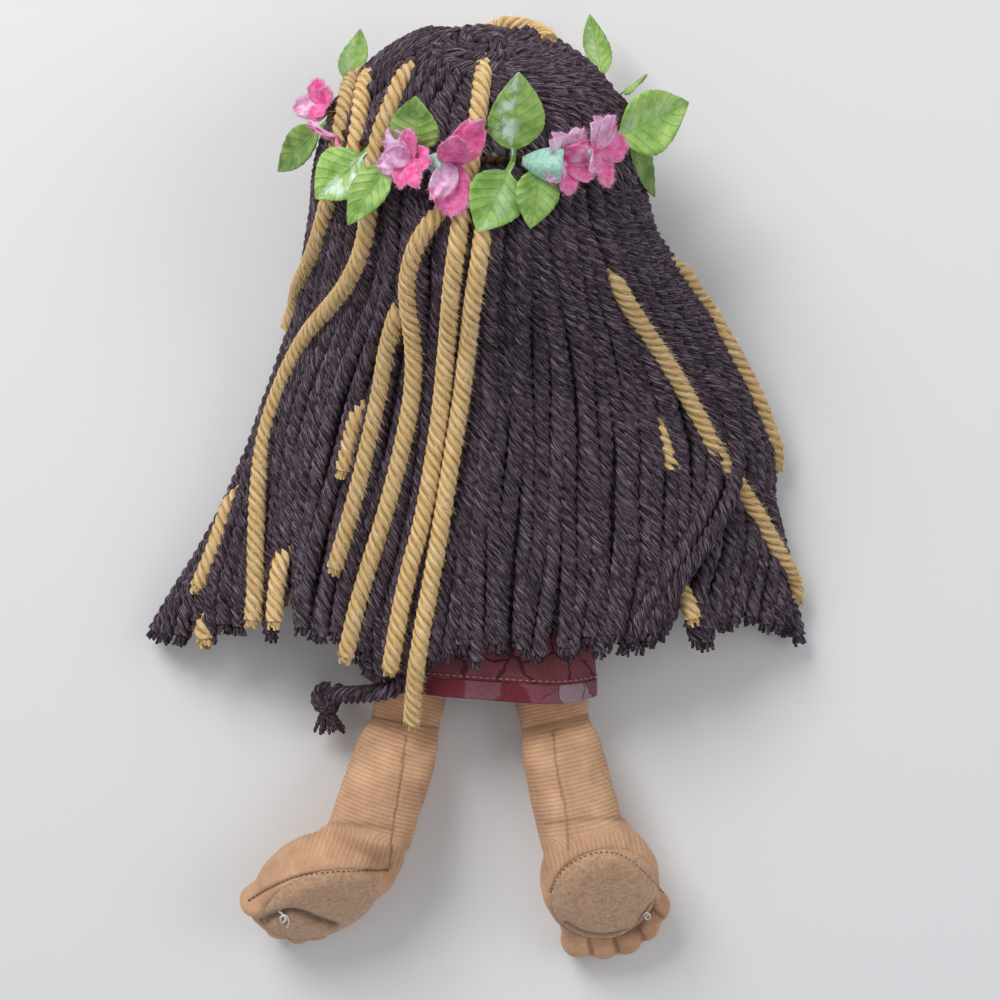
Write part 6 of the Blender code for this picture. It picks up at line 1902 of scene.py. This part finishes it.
MINT = felt_material("sized_mint_cloth", "#8accb4", "#cdeee0")
CALYXES = (("calyx_04", -17, 92, 18, 8, 7), ("calyx_05", 14, 96, 16, 12, 10), ("calyx_06", 33, 80, 50, 6, 6))
for name, turn, swing, lean, length, width in CALYXES:
    start, along, _, _ = trim_frame(turn, swing, lean)
    calyx = calyx_piece(name, start, along, length * MM, width * MM)
    calyx.data.materials.append(MINT)
    belongs(calyx, "head", "leaf_cloth")

# %% [markdown]
# ## Body, arms and head
# The stuffed pieces that the hair and the dress hide are made as carefully as the legs: the doll is
# picked up and turned over. All are the same brushed jersey, so they share its material. Their knit
# runs along the doll, and along each arm.

# %% Hidden stuffed pieces
LIMB_RADIUS, HEAD_RADIUS = 14 * MM, 42 * MM


def knit_along(piece, start, way):
    """Knit places along one direction, for a stuffed piece other than a leg."""
    points, _, _ = mesh_arrays(piece)
    flat = points - np.array(start)
    way = np.array(way.normalized())
    side = np.array((way[1], -way[0], 0))
    along = flat @ way
    around = np.arctan2(flat @ side, flat[:, 2]) * LIMB_RADIUS
    if piece.name.startswith("head"):
        flat = points - np.array(MIDDLE) - np.array((0, HEAD_PLACE, HEAD_HEIGHT))
        along = np.arctan2(flat[:, 1], flat[:, 2]) * HEAD_RADIUS
        around = flat[:, 0]
    point_values(piece, "knit", np.column_stack((along, around, np.zeros(len(points)))))
    point_values(piece, "seam", np.zeros(len(points)))


NOD_PLACE = Vector((0, 43.7 * MM, 18.4 * MM))
NOD_BACK = radians(20)
HAIR_DEPTH = 5.5 * MM
NAPE_REACH = NAPE + 8 * MM


def dent_nape(piece):
    """Flattens the head behind the neck, so that it stays under the hair when it nods back."""
    points, _, _ = mesh_arrays(piece)
    for k, point in enumerate(points):
        local = Vector(point) - MIDDLE - NOD_PLACE
        y = local.y * cos(NOD_BACK) - local.z * sin(NOD_BACK) + NOD_PLACE.y
        z = local.z * cos(NOD_BACK) + local.y * sin(NOD_BACK) + NOD_PLACE.z
        if z > 30 * MM and 20 * MM < y < NAPE_REACH:
            over = z - (flat_height(local.x, y) - HAIR_DEPTH)
            fade = min(1.0, (NAPE_REACH - y) / (6 * MM))
            if over > 0:
                points[k] -= np.array((0, sin(NOD_BACK), cos(NOD_BACK))) * over * fade
    set_points(piece, points)
    points, edges, _ = mesh_arrays(piece)
    set_points(piece, relaxed(points, edges, 4))


# the body that carries each piece, its voxel size, and where and which way its knit starts
STUFFED = {
    "torso": ("torso", 0.85 * MM, Vector((0, 40 * MM, 18 * MM)), Vector((0, -1, 0))),
    "neck": ("torso", 0.6 * MM, Vector((0, 48 * MM, 22 * MM)), Vector((0, -1, 0))),
    "head": ("head", 0.95 * MM, Vector((0, 140 * MM, 40 * MM)), Vector((0, -1, 0))),
    "arm_left": ("arm_left", 0.6 * MM, Vector((-33 * MM, 36 * MM, 14 * MM)), Vector((-0.42, -0.9, 0))),
    "arm_right": ("arm_right", 0.6 * MM, Vector((33 * MM, 36 * MM, 14 * MM)), Vector((0.42, -0.9, 0))),
}
body_pieces = {}
HAND_TUCK = 7 * MM
for node, (body, voxel, start, way) in STUFFED.items():
    piece = soft_copy(node, node + "_knit", voxel, 12 if node != "neck" else 4, 0.0)
    if node.startswith("arm"):
        points, _, _ = mesh_arrays(piece)
        reach = (points - np.array(start + MIDDLE)) @ np.array(way.normalized())
        pull = np.clip(reach / reach.max(), 0, 1) ** 2 * HAND_TUCK
        set_points(piece, points - pull[:, None] * np.array(way.normalized()))
    if node == "head":
        dent_nape(piece)
    knit_along(piece, start + MIDDLE, way)
    piece.data.materials.append(SKIN)
    belongs(piece, body, "skin_knit", node)
    body_pieces[node] = piece
    print(node, "has", len(piece.data.polygons), "faces")

# %% [markdown]
# ## Embroidered face
# No face shows in the photograph, so this is a plain one: two oval eyes and a short smile in satin
# stitch. Satin stitch is thread laid side by side across a shape. Each thread is a thin line on the
# head's surface, lifted a little in its middle, and the yarn tree makes it a strand.

# %% Satin stitches
head_tree = surface_tree(body_pieces["head"])


def face_point(x, y, lift):
    """A point on the face, which looks down at the table, a lift off the skin."""
    start = Vector((x, HEAD_PLACE + y, -20 * MM)) + MIDDLE
    hit, normal, _, _ = head_tree.ray_cast(start, Vector((0, 0, 1)))
    return hit - MIDDLE + normal * lift


def satin_oval(x, y, width, height, step):
    """Threads across an oval, from its top to its lower edge."""
    lines = []
    for k in range(1, int(height / step)):
        at = k * step - height / 2
        half = width / 2 * sqrt(max(0.0, 1 - (2 * at / height) ** 2))
        if half > 0.4 * MM:
            lines.append([face_point(x + half * share, y + at, (0.5 - 0.45 * share ** 2) * MM)
                          for share in (-1, -0.6, 0, 0.6, 1)])
    return lines


def satin_smile(width, depth, thick, step):
    """Short upright threads along a curve that rises at both ends."""
    lines = []
    for k in range(int(width / step) + 1):
        x = k * step - width / 2
        y = -17 * MM - depth * (1 - (2 * x / width) ** 2)
        half = thick / 2 * sqrt(max(0.05, 1 - (2 * x / width) ** 2))
        lines.append([face_point(x, y + half * share, (0.45 - 0.4 * share ** 2) * MM)
                      for share in (-1, 0, 1)])
    return lines


THREAD = {"Radius": 0.28 * MM, "Pitch": 2 * MM, "Step": 0.4 * MM, "Plies": 2.0, "Groove": 0.15, "Sides": 8}
EYE_THREAD = thread_material("rayon_thread_brown", "#33221a")
LIP_THREAD = thread_material("rayon_thread_rose", "#b04a55")
for node, x in (("eye_left", -15 * MM), ("eye_right", 15 * MM)):
    lines = [strand_record(line) for line in satin_oval(x, 4 * MM, 7 * MM, 8 * MM, 0.5 * MM)]
    eye = yarn_piece(node + "_stitches", lines, dict(THREAD, Material=EYE_THREAD))
    belongs(eye, "head", "eye_thread", node)
lines = [strand_record(line) for line in satin_smile(14 * MM, 2.4 * MM, 2.6 * MM, 0.5 * MM)]
smile = yarn_piece("mouth_stitches", lines, dict(THREAD, Material=LIP_THREAD))
belongs(smile, "head", "mouth_thread", "mouth")

# %% [markdown]
# ## Stitches on the feet
# The sole panel is sewn on with brown thread that shows as small stitches along the seam, and an end
# of white thread stands out between the toes of each foot. The stitch tree and the yarn tree make
# them, on lines laid on whichever of the two skins lies on top.

# %% Foot stitches
def on_foot(side, pixel, lift):
    """A point over the upper one of the leg's skin and the sole's, in the doll's frame."""
    hits = [seen_at(tree, pixel)[0] for tree in foot_trees[side]]
    top = max((hit for hit in hits if hit is not None), key=lambda hit: hit.z)
    return top - MIDDLE + Vector((0, 0, lift))


foot_trees = {side: [surface_tree(leg), surface_tree(sole)] for side, (leg, thigh, sole) in legs.items()}
BROWN_THREAD = thread_material("cotton_thread_brown", "#4c3322")
WHITE_THREAD = thread_material("polyester_thread_white", "#efe9de")
SEAM_STITCH = {"Spacing": 1.7 * MM, "Length": 1.0 * MM, "Thickness": 0.34 * MM, "Material": BROWN_THREAD}
LOOSE_THREADS_PX = {
    "left": ((279, 911), (283, 914), (286, 919), (282, 922), (281, 917), (286, 915), (289, 921), (287, 927)),
    "right": ((643, 915), (646, 912), (650, 915), (648, 919), (645, 917), (649, 913)),
}
for side, pixels in LOOSE_THREADS_PX.items():
    seam_line = [on_foot(side, pixel, 0.1 * MM)
                 for pixel in smooth_line(LEG_SEAMS_PX[side]["sole_seam"][0], step=3.0)]
    source = lines_object("sole_line_" + side, [strand_record(seam_line)])
    sole_stitches = grown(source, STITCH_TREE, SEAM_STITCH, "sole_stitches_" + side)
    loop = smooth_line([on_foot(side, pixel, (0.5 + 0.35 * (k % 3)) * MM) for k, pixel in enumerate(pixels)])
    loose_thread = yarn_piece("loose_thread_" + side, [strand_record(loop)],
                              dict(THREAD, Radius=0.36 * MM, Material=WHITE_THREAD))
    for piece in (sole_stitches, loose_thread):
        belongs(piece, "lower_leg_" + side, "sole_cloth")
